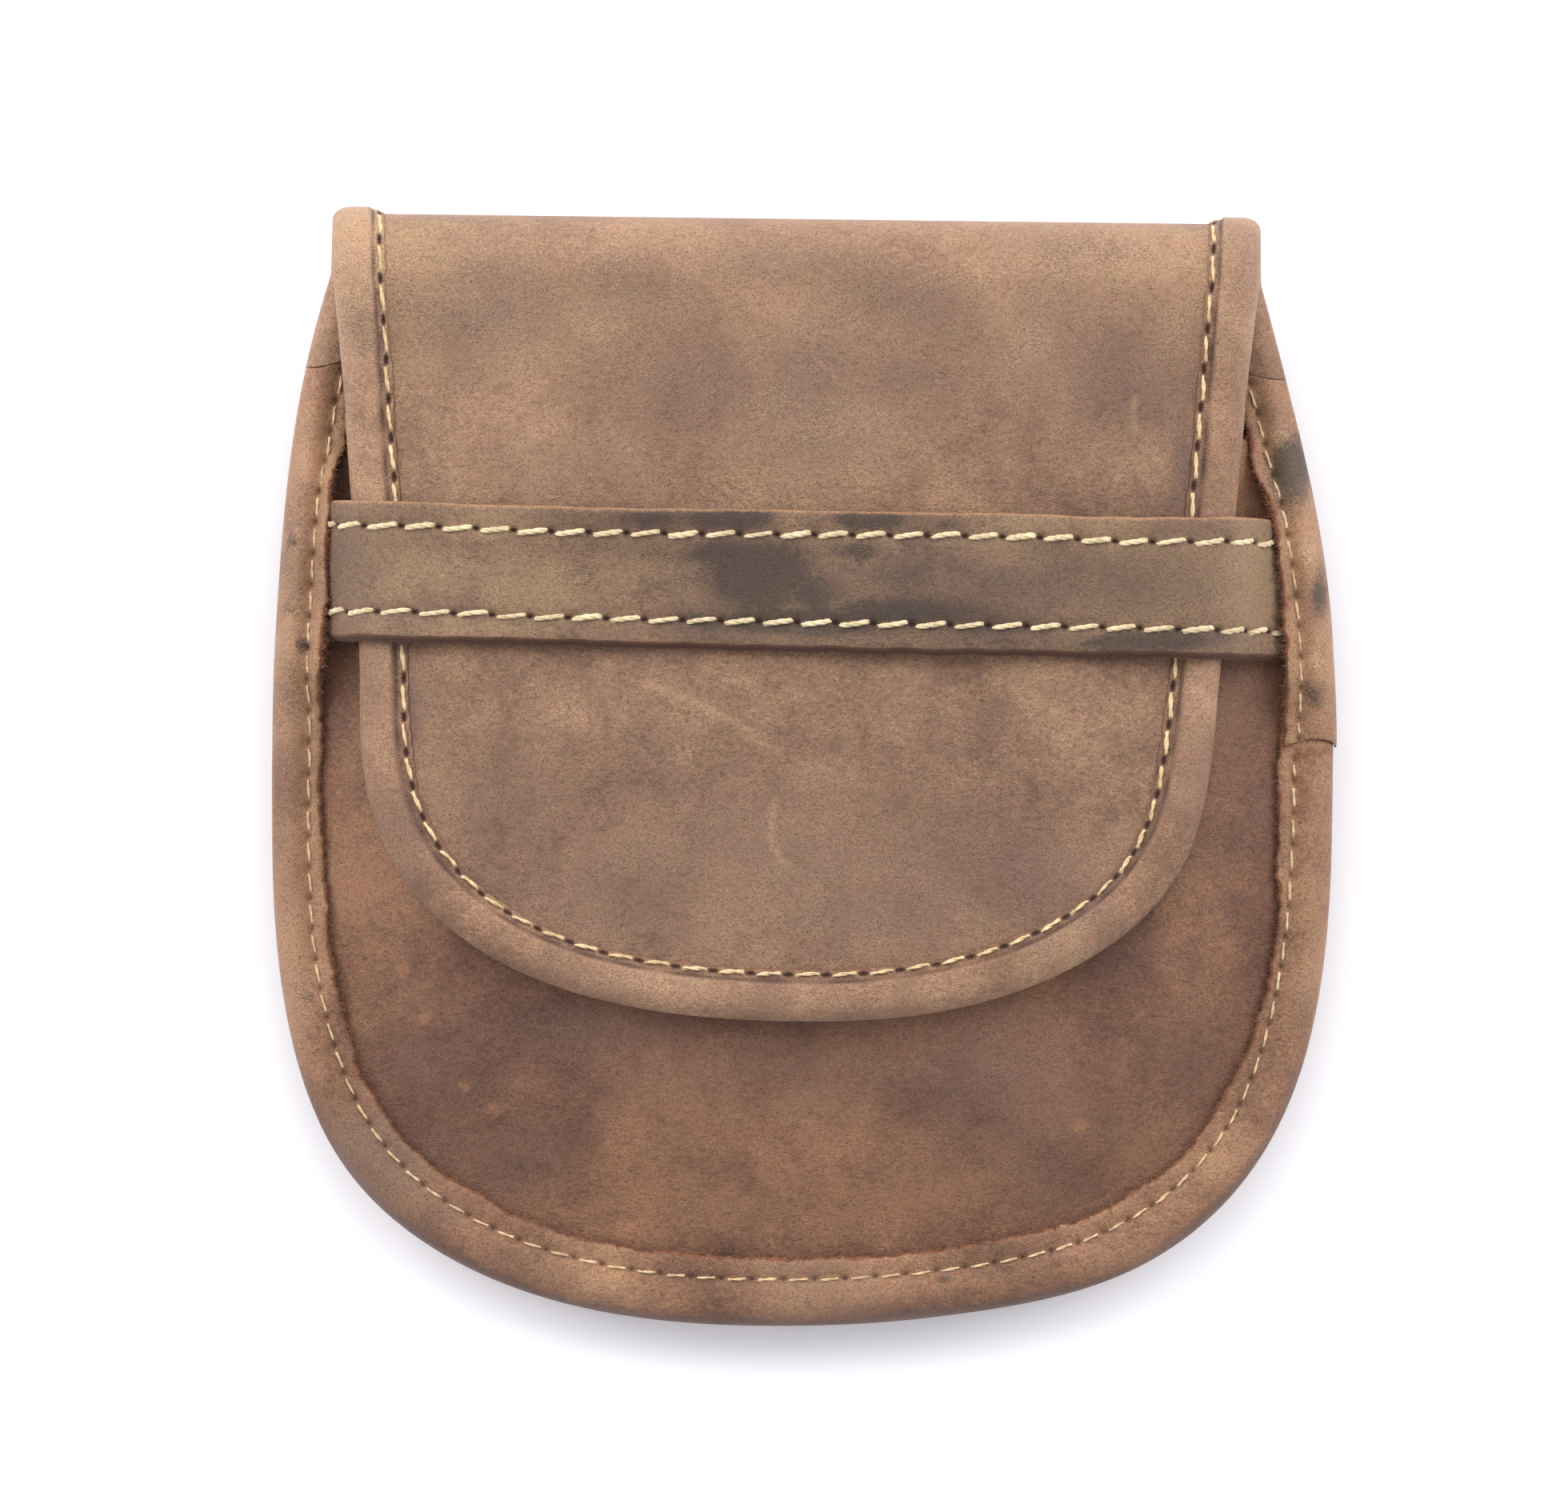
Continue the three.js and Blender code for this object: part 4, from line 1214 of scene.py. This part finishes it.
seam_pieces = (
    ("body_binding_long", False, seam_top, straight_at(JOINT_L - GAP / 2 + LAP)),
    ("body_binding_short", True, joint_end, lambda c: SEAM_END - seam_top(c)),
)
stitch_count = int(round((SEAM_END - 2 * SEAM_FIRST) / SEAM_PITCH))
stitch_l = np.linspace(SEAM_FIRST, SEAM_END - SEAM_FIRST, stitch_count + 1)
seam_runs = []
fibre_roots = []
for cad_node, is_short, start_at, end_at in seam_pieces:
    start = JOINT_L if is_short else 0.0
    clear_end = SEAM_END if is_short else JOINT_L - 0.2
    by_joint = np.array([JOINT_L + (1.3 if is_short else -1.4)])
    inner = stitch_l[(stitch_l > start + 2.4) & (stitch_l < clear_end - (0 if is_short else 2.6))]
    l = np.concatenate([by_joint, inner] if is_short else [inner, by_joint])
    runs = [np.stack([l, sign * seam_stitch_c(l)], 1) for sign in (1, -1)]
    holes = np.vstack(runs)
    leather(
        cad_node + "_leather", cad_node, "seam_binding_leather",
        strip_loop(start_at, end_at, seam_back_edge, seam_front_edge, STRIP_STEP),
        seam_surface_of(is_short, holes), seam_masks_of(is_short, holes), SEAM_STEP,
        extra=pit_points(holes, SEAM_PIT), rim_bulge=0.1, soft_rim=seam_soft_rim,
    )
    smooth = seam_surface_of(is_short, holes, dented=False)
    seam_runs += [stitch_run(smooth, run, gap=0.68, slant=0.1) for run in runs]
    rng = np.random.default_rng(60 + is_short)
    first, last = max(start, SEAM_FIBRE_CLEAR) + 0.5, min(clear_end, SEAM_END - SEAM_FIBRE_CLEAR)
    l = rng.uniform(first, last, int(SEAM_FIBRES_PER_MM * (clear_end - start)))
    c = seam_front_edge(l) + 0.08 - 0.5 * rng.random(len(l)) ** 2
    roots = smooth(np.stack([l, c], 1), rng.uniform(-0.6, 0.9, len(l)))
    point, inward = SEAM.at(l)
    fibre_roots.append((roots, np.pad(inward, ((0, 0), (0, 1))), 0.5 + 0.6 * strap_near(point[:, 1])))
stitches(
    "seam_stitches", seam_runs, SEAM_THREAD,
    width=0.37, lift=0.14, sink=0.6, plies=2, turns=0.8, rings=11, sides=6, seed=71,
)

# Flap binding
FLAP_DENT = (0.8, 0.4)
FLAP_PIT = (0.9, 0.4)
FLAP_HOLE = (0.85, 0.35)
FLAP_PITCH = 5.2
FLAP_FIRST = FLAP_RUN_SLANT + 1.5
FLAP_DITCH = 5.28
right, left = (part[part[:, 1] > FLAP_RUN_FROM_Y - FOLD_Y] for part in cut_edge(0.0))
FLAP_RUN = Run(np.vstack([left, right[::-1][1:]]), -1.0)
FLAP_RUN_END = FLAP_RUN.length[-1]


def flap_c(depth):
    return FLAP_BEND_ARC + depth - FLAP_BINDING_BEND


def flap_front_edge(l):
    return flap_c(FLANGE_END) + wander(l, 81, 0.1)


def flap_back_edge(l):
    return -flap_c(FLAP_BINDING_WIDTH) + wander(l, 82, 0.06)


stitch_count = int(round((FLAP_RUN_END - 2 * FLAP_FIRST) / FLAP_PITCH))
stitch_l = np.linspace(FLAP_FIRST, FLAP_RUN_END - FLAP_FIRST, stitch_count + 1)
FLAP_HOLES = np.stack([stitch_l, np.full_like(stitch_l, flap_c(FLAP_STITCH_DEPTH))], 1)


def flap_binding_surface_of(dented):
    def surface(uv, w):
        l, c = uv.T
        run, inward = FLAP_RUN.at(l)
        inner = (1 - w) / 2
        depth, side = folded(c, inner * BINDING, FLAP_BINDING_BEND, FLAP_BEND_ARC)
        x, s = (run + inward * depth[:, None]).T
        flat = smoothstep(depth, *FLAP_ROLL_END) * (c > 0)
        fold = bell(s - FOLD_LENGTH / 2, 7.0)
        roll = PANEL / 2 + GAP
        roll_outer = roll + BINDING + 0.35 * np.sin(math.pi * clamp((depth - 0.4) / 5.6)) * (1 - fold)
        roll_outer = roll_outer - FLAP_FOLD_THINNING * fold
        flange = PANEL / 2 + 0.12
        flange_outer = flange + FLANGE * (1 - 0.75 * smoothstep(depth, FLAP_STITCH_DEPTH - 0.3, FLANGE_END))
        outer = lerp(roll_outer, flange_outer, flat) + 0.06 * waves(l, c, 83, 4, 22) * (1 - flat) * (1 - fold)
        reach = lerp(outer, lerp(roll, flange, flat), inner)
        if dented:
            reach = reach - FLAP_STITCH_DENT * (1 - inner) * dents(uv, FLAP_HOLES, FLAP_DENT)
        return pattern_point(x, s) - pattern_normal(x, s) * (side * reach)[:, None]
    return surface


# Painted shade on the flap binding's roll at its lower left and lower right, where it turns away from the
# light
FLAP_ROLL_PAINTED_SHADE = [
    (505, 1080, 60, 100, 20, 1.0), (640, 1210, 90, 40, -30, 0.6), (1420, 1140, 110, 110, 0, 1.1),
    (1290, 1215, 90, 40, 0, 0.7),
]


def flap_binding_masks(uv, w, edge, points):
    l, c = uv.T
    x, y, _ = points.T
    outside = (w > 0).astype(float)
    # Painted shade in the crease between the roll and the flange, laid in through the clouds, raw and hole
    # masks
    ditch = bell(c - flap_c(FLAP_DITCH), 0.2)
    flange = smoothstep(c, flap_c(5.3), flap_c(5.8))
    # Lighter towards the top and on the left: painted light
    high = (0.35 + 0.5 * smoothstep(-x, 30, 52)) * smoothstep(y, 0, 60)
    behind = np.minimum(l, FLAP_RUN_END - l) < FOLD_Y - FLAP_RUN_FROM_Y
    from_edge = np.minimum(flap_front_edge(l) - c, c - flap_back_edge(l))
    tone = 0.05 + 0.15 * waves(l, c, 84, 12, 60) + np.where(behind, -0.1, high)
    painted_ditch_shade = 0.75 * ditch * clamp(0.7 + 0.4 * waves(l, 0 * l, 87, 5, 40))
    return {
        "tone": outside * (tone - 0.4 * flange - 0.6 * blobs(points, FLAP_ROLL_PAINTED_SHADE)),
        "cloud": outside * (0.12 + 0.18 * waves(l, c, 85, 9, 40) + 0.6 * ditch + 0.1 * behind),
        "wear": outside * 0.35 * bell(c - 1.5, 2.0) * clamp(0.5 + 0.5 * waves(l, 0 * l, 86, 10, 50)),
        "raw": np.maximum(np.maximum(0.5 * (1 - clamp(from_edge / 0.3)), 1 - outside), outside * 0.5 * ditch),
        "hole": outside * np.maximum(hole_mask(uv, FLAP_HOLES, FLAP_HOLE), painted_ditch_shade),
    }


def flap_binding_soft_rim(uv):
    return smoothstep(np.minimum(uv[:, 0], FLAP_RUN_END - uv[:, 0]), 4, 8)


loop = strip_loop(flap_end, lambda c: FLAP_RUN_END - flap_end(c), flap_back_edge, flap_front_edge, STRIP_STEP)
roll_l = np.arange(4.0, FLAP_RUN_END - 4.0, 0.5)
roll_rows = []
for k, depth in enumerate((4.6, 4.85, 5.0, 5.12, 5.25, 5.4)):
    roll_rows.append(np.stack([roll_l + 0.25 * (k % 2), np.full_like(roll_l, flap_c(depth))], 1))
roll_rows = np.vstack(roll_rows)
pits = pit_points(FLAP_HOLES, FLAP_PIT)
leather(
    "flap_binding_leather_strip", "flap_binding", "flap_binding_leather", loop, flap_binding_surface_of(True),
    flap_binding_masks, SEAM_STEP, extra=np.vstack([pits, roll_rows[apart(roll_rows, pits, 0.25)]]),
    rim_bulge=0.06, soft_rim=flap_binding_soft_rim,
)
flap_stitch_run = stitch_run(flap_binding_surface_of(False), FLAP_HOLES, gap=0.8, slant=0.14)
stitches(
    "flap_stitches", [flap_stitch_run], FLAP_THREAD,
    width=0.54, lift=0.2, sink=0.6, plies=2, turns=0.9, rings=13, sides=7, seed=72,
)


# Closing strap
STRAP_STEP = 0.75
STRAP_PIT = (0.65, 0.5)
STRAP_HOLE = (0.55, 0.36)
STRAP_PITCH = 4.98
STRAP_COUNT = 900


def strap_key_points(side, y):
    seam, edge = body_half(y), flap_half(y)
    s = FOLD_LENGTH + FOLD_Y - y

    def on_front(depth):
        x = body_axis(y) + side * (seam - depth)
        return np.stack([x, y, front_mid(x, y) + PANEL / 2 + STRAP_ROOM + STRAP / 2], 1)

    def on_flap(depth, room):
        x = FLAP_OFFSET_X + side * (edge - depth)
        lift = PANEL / 2 + room + STRAP_ROOM + STRAP / 2
        return pattern_point(x, s) - pattern_normal(x, s) * lift

    over = BINDING + GAP + STRAP_OVER_FLAP
    shoulder = on_flap(FLAP_BINDING_BEND, over)
    clear = FLAP_BINDING_BEND + STRAP_ROOM + STRAP / 2
    out = STRAP_SHOULDER_OUT[0] + STRAP_SHOULDER_OUT[1] * side
    down = STRAP_SHOULDER_DOWN[0] - STRAP_SHOULDER_DOWN[1] * side
    return [
        on_front(STRAP_END_INSET),
        on_front(seam_width(y) + STRAP_BEND_ROOM),
        shoulder + np.array([side * clear * out, 0, -clear * down]),
        shoulder,
        on_flap(FLAP_BINDING_WIDTH, over),
        on_flap(STRAP_SETTLE, 0.0),
        on_flap(2 * STRAP_SETTLE, 0.0),
    ]


def through(keys, per_span):
    """Centripetal curve through key points; every key is one point per column."""
    keys = [2 * keys[0] - keys[1], *keys, 2 * keys[-1] - keys[-2]]
    out = []
    for p0, p1, p2, p3 in zip(keys, keys[1:], keys[2:], keys[3:]):
        spans = (p1 - p0, p2 - p1, p3 - p2)
        d0, d1, d2 = (np.sqrt(np.linalg.norm(span, axis=1, keepdims=True)) for span in spans)
        t1 = ((p1 - p0) / d0 - (p2 - p0) / (d0 + d1) + (p2 - p1) / d1) * d1
        t2 = ((p2 - p1) / d1 - (p3 - p1) / (d1 + d2) + (p3 - p2) / d2) * d1
        for t in np.linspace(0, 1, per_span, endpoint=False):
            square, cube = 3 * (p2 - p1) - 2 * t1 - t2, 2 * (p1 - p2) + t1 + t2
            out.append(p1 + t1 * t + square * t ** 2 + cube * t ** 3)
    out.append(keys[-2])
    return np.stack(out)


STRAP_V = np.linspace(-STRAP_HALF_WIDTH - 1, STRAP_HALF_WIDTH + 1, 43)
strap_y = STRAP_Y + STRAP_V
strap_keys = strap_key_points(-1, strap_y) + strap_key_points(1, strap_y)[::-1]
strap_lines = through(strap_keys, 60)
columns = []
for k in range(len(STRAP_V)):
    length = lengths_along(strap_lines[:, k])
    columns.append(read_at(np.linspace(0, length[-1], STRAP_COUNT), length, strap_lines[:, k]))
STRAP_TABLE = np.stack(columns, 1)
STRAP_TABLE[..., 1] -= STRAP_TILT * STRAP_TABLE[..., 0]
STRAP_LENGTH = lengths_along(STRAP_TABLE[:, len(STRAP_V) // 2])[-1]


def strap_mid(uv):
    i = clamp(uv[:, 0] / STRAP_LENGTH * (STRAP_COUNT - 1), 0, STRAP_COUNT - 1.001)
    j = clamp((uv[:, 1] - STRAP_V[0]) / (STRAP_V[1] - STRAP_V[0]), 0, len(STRAP_V) - 1.001)
    i0, j0 = i.astype(int), j.astype(int)
    a, b = (i - i0)[:, None], (j - j0)[:, None]
    low = lerp(STRAP_TABLE[i0, j0], STRAP_TABLE[i0 + 1, j0], a)
    high = lerp(STRAP_TABLE[i0, j0 + 1], STRAP_TABLE[i0 + 1, j0 + 1], a)
    return lerp(low, high, b)


def strap_row(row, hole_x):
    """Holes along the strap, one of them at hole_x."""
    l = np.linspace(0, STRAP_LENGTH, 1200)
    first = np.interp(hole_x, strap_mid(np.stack([l, np.full_like(l, row)], 1))[:, 0], l)
    start = STRAP_HOLES_FROM + (first - STRAP_HOLES_FROM) % STRAP_PITCH
    at = np.arange(start, STRAP_LENGTH - STRAP_HOLES_FROM, STRAP_PITCH)
    return np.stack([at, np.full_like(at, row)], 1)


STRAP_ROWS = [strap_row(STRAP_TOP_ROW, hole_x=-18.6), strap_row(STRAP_LOW_ROW, hole_x=-21.05)]
STRAP_HOLES = np.vstack(STRAP_ROWS)
STRAP_STAINS = [
    (915, 648, 56, 16, 0, 1.4), (820, 650, 50, 13, 0, 1.0), (800, 690, 60, 22, 0, 0.5),
    (905, 690, 60, 14, 8, 1.1), (950, 722, 66, 48, 0, 1.35), (1015, 742, 50, 32, 0, 1.0),
    (1085, 650, 50, 14, 0, 1.2), (1185, 656, 22, 11, 0, 0.65), (1065, 690, 42, 13, 0, 0.8),
    (1000, 778, 110, 18, 0, 1.3), (890, 778, 60, 18, 0, 0.9), (1130, 766, 110, 18, 0, 1.05),
    (1250, 784, 90, 15, 0, 0.85), (1110, 718, 70, 24, 0, 0.58), (1220, 705, 60, 20, 0, 0.32),
    (770, 655, 30, 14, 0, 0.45), (1440, 803, 95, 13, 3, 1.3), (760, 792, 60, 14, 0, 0.5),
    (738, 722, 36, 36, 0, 0.44), (450, 700, 30, 30, 0, 0.3),
]
STRAP_BARE = [(1003, 655, 30, 14, 0, 0.6)]
# Lighter patches on the strap; the ones at its two ends are painted light on the sloping ends, which lie in
# shade
STRAP_LIGHTS = [
    (540, 720, 60, 35, 0, 1.2), (670, 730, 80, 40, 0, 1.3), (790, 715, 50, 30, 0, 0.4),
    (1575, 720, 40, 70, 0, 2.0), (600, 655, 60, 20, 0, 1.3), (600, 790, 80, 18, 0, 1.2),
    (1310, 655, 60, 20, 0, 0.9), (1275, 700, 40, 22, 0, 0.8),
]
STRAP_CLOUDS = [
    (1430, 730, 110, 50, 0, 0.7), (1280, 720, 90, 50, 0, 0.5), (1480, 660, 70, 25, 0, 0.5),
    (430, 700, 25, 60, 0, 0.3),
]


def strap_low(l):
    return -STRAP_HALF_WIDTH + wander(l, 94, 0.07, 3, 30)


def strap_high(l):
    return STRAP_HALF_WIDTH + wander(l, 95, 0.06, 6, 40)


def strap_surface_of(dented):
    def surface(uv, w):
        l, v = uv.T
        along, across = (strap_mid(uv + step) - strap_mid(uv - step) for step in ([0.3, 0.0], [0.0, 0.3]))
        normal = unit(np.cross(along, across))
        rows = bell(v - STRAP_TOP_ROW, 0.9) + bell(v - STRAP_LOW_ROW, 0.9)
        detail = 0.05 * waves(l, v, 91, 9, 32) - 0.14 * rows + 0.1
        detail = detail - 0.5 * (1 - clamp((v - strap_low(l)) / STRAP_CUT))
        if dented:
            detail = detail - STRAP_DENT * dents(uv, STRAP_HOLES, STRAP_PIT)
        return strap_mid(uv) + normal * (w * STRAP / 2 + clamp((1 + w) / 2) * detail)[:, None]
    return surface


def strap_masks(uv, w, edge, points):
    l, v = uv.T
    outside = (w > 0).astype(float)
    below, above = v - strap_low(l), strap_high(l) - v
    cut = 1 - smoothstep(below, 0.8 * STRAP_CUT, 1.1 * STRAP_CUT)
    # Painted shade: two dark lines along the strap's lower cut edge, where the bevel turns down and just
    # under the edge
    painted_edge_shade = bell(below - STRAP_CUT, 0.12) + bell(below - 0.15, 0.12)
    rim = 1 - clamp(edge / np.maximum(0.15, 0.3 + 0.1 * waves(l, v, 92, 3, 12)))
    olive = 0.35 * waves(l, v, 93, 10, 45)
    return {
        "tone": outside * (0.6 * blobs(points, STRAP_LIGHTS) + 0.2 * olive),
        "cloud": outside * np.maximum(0.15 + 0.2 * olive, blobs(points, STRAP_CLOUDS)),
        "stain": outside * clamp(blobs(points, STRAP_STAINS) - blobs(points, STRAP_BARE)),
        # Wear along the lower edge, and a painted highlight along the lit top edge
        "wear": outside * (0.3 * bell(below - 1.3, 0.7) + 0.7 * bell(above, 0.3)),
        "raw": np.maximum(np.maximum(rim, 1 - outside) * np.where(v > 0, 0.1, 1.0), cut),
        "hole": outside * np.maximum(hole_mask(uv, STRAP_HOLES, STRAP_HOLE), 0.65 * clamp(painted_edge_shade)),
    }


loop = strip_loop(straight_at(0.2), straight_at(STRAP_LENGTH - 0.2), strap_low, strap_high, 0.6)
leather(
    "closing_strap_leather", "closing_strap", "strap_leather", loop, strap_surface_of(True), strap_masks,
    STRAP_STEP, extra=pit_points(STRAP_HOLES, STRAP_PIT), rim_bulge=0.12,
)
strap_runs = [stitch_run(strap_surface_of(False), row, gap=0.55, slant=0.3) for row in STRAP_ROWS]
stitches(
    "strap_stitches", strap_runs, STRAP_THREAD,
    width=0.72, lift=0.2, sink=0.7, plies=3, turns=1.0, rings=17, sides=8, seed=73,
)

# Belt loop on the back
LOOP_STEP = 1.2
LOOP_PIT = (0.6, 0.5)
LOOP_HOLE = (0.6, 0.45)
LOOP_PITCH = 4.2
LOOP_ROW_INSET = 3.0
LOOP_ROW_DEPTHS = (2.8, 7.6)
LOOP_CORNER = 3.0
LOOP_ON_BACK = BACK_Z - GAP - LOOP / 2
LOOP_ON_FLOOR = LOOP / 2


def loop_mid_z(y):
    from_end = (LOOP_TO_Y - LOOP_FROM_Y) / 2 - np.abs(y - LOOP_MIDDLE_Y)
    return lerp(LOOP_ON_BACK, LOOP_ON_FLOOR, smoothstep(from_end, LOOP_TAB, LOOP_TAB + LOOP_BEND))


row_half = LOOP_HALF_WIDTH - LOOP_ROW_INSET
row_x = np.linspace(-row_half, row_half, int(round(2 * row_half / LOOP_PITCH)) + 1)
row_y = [LOOP_FROM_Y + d for d in LOOP_ROW_DEPTHS] + [LOOP_TO_Y - d for d in reversed(LOOP_ROW_DEPTHS)]
LOOP_ROWS = [np.stack([row_x, np.full_like(row_x, y)], 1) for y in row_y]
LOOP_HOLES = np.vstack(LOOP_ROWS)


def loop_surface_of(dented):
    def surface(uv, w):
        x, y = uv.T
        outside = clamp((1 + w) / 2)
        tab = smoothstep(loop_mid_z(y), 2.0, LOOP_ON_BACK)
        detail = 0.06 * waves(x, y, 101, 8, 30) * tab
        if dented:
            detail = detail - LOOP_DENT * dents(uv, LOOP_HOLES, LOOP_PIT)
        return np.stack([x, y, loop_mid_z(y) - w * LOOP / 2 - outside * detail], 1)
    return surface


def loop_masks(uv, w, edge, points):
    x, y = uv.T
    outside = (w > 0).astype(float)
    return {
        "tone": outside * (0.15 + 0.25 * waves(x, y, 102, 12, 50)),
        "cloud": 0.25 + 0.25 * waves(x, y, 103, 10, 40),
        "wear": outside * 0.35 * bell(edge - 0.8, 0.8),
        "raw": 1 - clamp(edge / 0.35),
        "hole": outside * hole_mask(uv, LOOP_HOLES, LOOP_HOLE),
    }


across = LOOP_HALF_WIDTH - LOOP_CORNER
low, high = LOOP_FROM_Y + LOOP_CORNER, LOOP_TO_Y - LOOP_CORNER
arcs = []
for k, centre in enumerate(((across, low), (across, high), (-across, high), (-across, low))):
    turn = np.linspace(0, math.pi / 2, 9) + (k - 1) * math.pi / 2
    arcs.append(np.array(centre) + LOOP_CORNER * np.stack([np.cos(turn), np.sin(turn)], 1))
loop = evenly(np.vstack([*arcs, arcs[0][:1]]), 0.8)[:-1]
leather(
    "belt_loop_leather", "belt_loop", "loop_leather", loop, loop_surface_of(True), loop_masks, LOOP_STEP,
    extra=pit_points(LOOP_HOLES, LOOP_PIT),
)
loop_runs = []
for row in LOOP_ROWS:
    first, last, normal = stitch_run(loop_surface_of(False), row, gap=0.5, slant=0.1)
    normal[:] = (0.0, 0.0, -1.0)
    loop_runs.append((first, last, normal))
stitches(
    "loop_stitches", loop_runs, SEAM_THREAD,
    width=0.6, lift=0.18, sink=0.6, plies=2, turns=1.6, rings=11, sides=6, seed=74,
)

# Loose fibres on the raw edges
rng = np.random.default_rng(65)
l = rng.uniform(STRAP_FIBRE_CLEAR, STRAP_LENGTH - STRAP_FIBRE_CLEAR, STRAP_FIBRES)
low_edge = np.stack([l, strap_low(l) + 0.05], 1)
strap_roots = strap_surface_of(False)(low_edge, rng.uniform(-0.9, 0.4, len(l)))
fibre_roots.append((strap_roots, np.tile([0.0, -1.0, 0.0], (len(l), 1)), np.full(len(l), 0.5)))
roots, outward = (np.vstack([run[k] for run in fibre_roots]) for k in (0, 1))
longest = np.concatenate([run[2] for run in fibre_roots])
fibres("raw_edge_fibres", roots, outward, FIBRE, longest, radius=0.05, seed=66)

# Stage, light and camera
FLOOR_HALF = 6
FLOOR_LOOKS = {"Base Color": (0.9, 0.89, 0.93, 1.0), "Roughness": 0.9, "Specular IOR Level": 0.1}
floor_white = bpy.data.materials.new("floor_white")
floor_white.use_nodes = True
for key, value in FLOOR_LOOKS.items():
    floor_white.node_tree.nodes["Principled BSDF"].inputs[key].default_value = value
mesh = bpy.data.meshes.new("floor")
corners = [(FLOOR_HALF * x, FLOOR_HALF * y, 0) for x, y in ((-1, -1), (1, -1), (1, 1), (-1, 1))]
mesh.from_pydata(corners, [], [(0, 1, 2, 3)])
mesh.materials.append(floor_white)
linked("floor", mesh)

# Name, place, size and power
LIGHTS = [
    ("top_light", (0.0, 1.1, 1.2), 1.2, 9.0),
    ("left_light", (-1.2, 0.75, 0.7), 1.0, 20.0),
    ("right_light", (1.2, 0.75, 0.7), 1.0, 17.0),
]
for name, light_at, size, power in LIGHTS:
    light = bpy.data.lights.new(name, "AREA")
    light.shape = "SQUARE"
    light.size = size
    light.energy = power
    light.color = (1.0, 0.985, 0.96)
    made = linked(name, light)
    made.location = light_at
    made.rotation_euler = (-Vector(light_at)).to_track_quat("-Z", "Y").to_euler()

world = bpy.data.worlds.new("studio")
world.use_nodes = True
background = world.node_tree.nodes["Background"]
background.inputs["Color"].default_value = (0.97, 0.975, 1.0, 1.0)
background.inputs["Strength"].default_value = 0.94
bpy.context.scene.world = world
bpy.context.scene.view_settings.view_transform = "Standard"

CAMERA_DISTANCE = 3.0
CAMERA_LEVEL = 0.01
SENSOR = 36.0
PHOTO_SIZE = (1960, 1880)
camera_data = bpy.data.cameras.new("photo_camera")
camera_data.sensor_width = SENSOR
camera_data.lens = SENSOR * CAMERA_DISTANCE / (PHOTO_SIZE[0] * PHOTO_MM * MM)
camera_data.clip_end = 20.0
camera = linked("photo_camera", camera_data)
camera_x, camera_y = place(PHOTO_SIZE[0] / 2, PHOTO_SIZE[1] / 2)
camera.location = (
    (float(camera_x) + ROW_SHIFT[0]) * MM,
    (float(camera_y) + ROW_SHIFT[1]) * MM,
    CAMERA_DISTANCE + CAMERA_LEVEL,
)
camera.rotation_euler = (0.0, 0.0, PHOTO_TURN)
bpy.context.scene.camera = camera
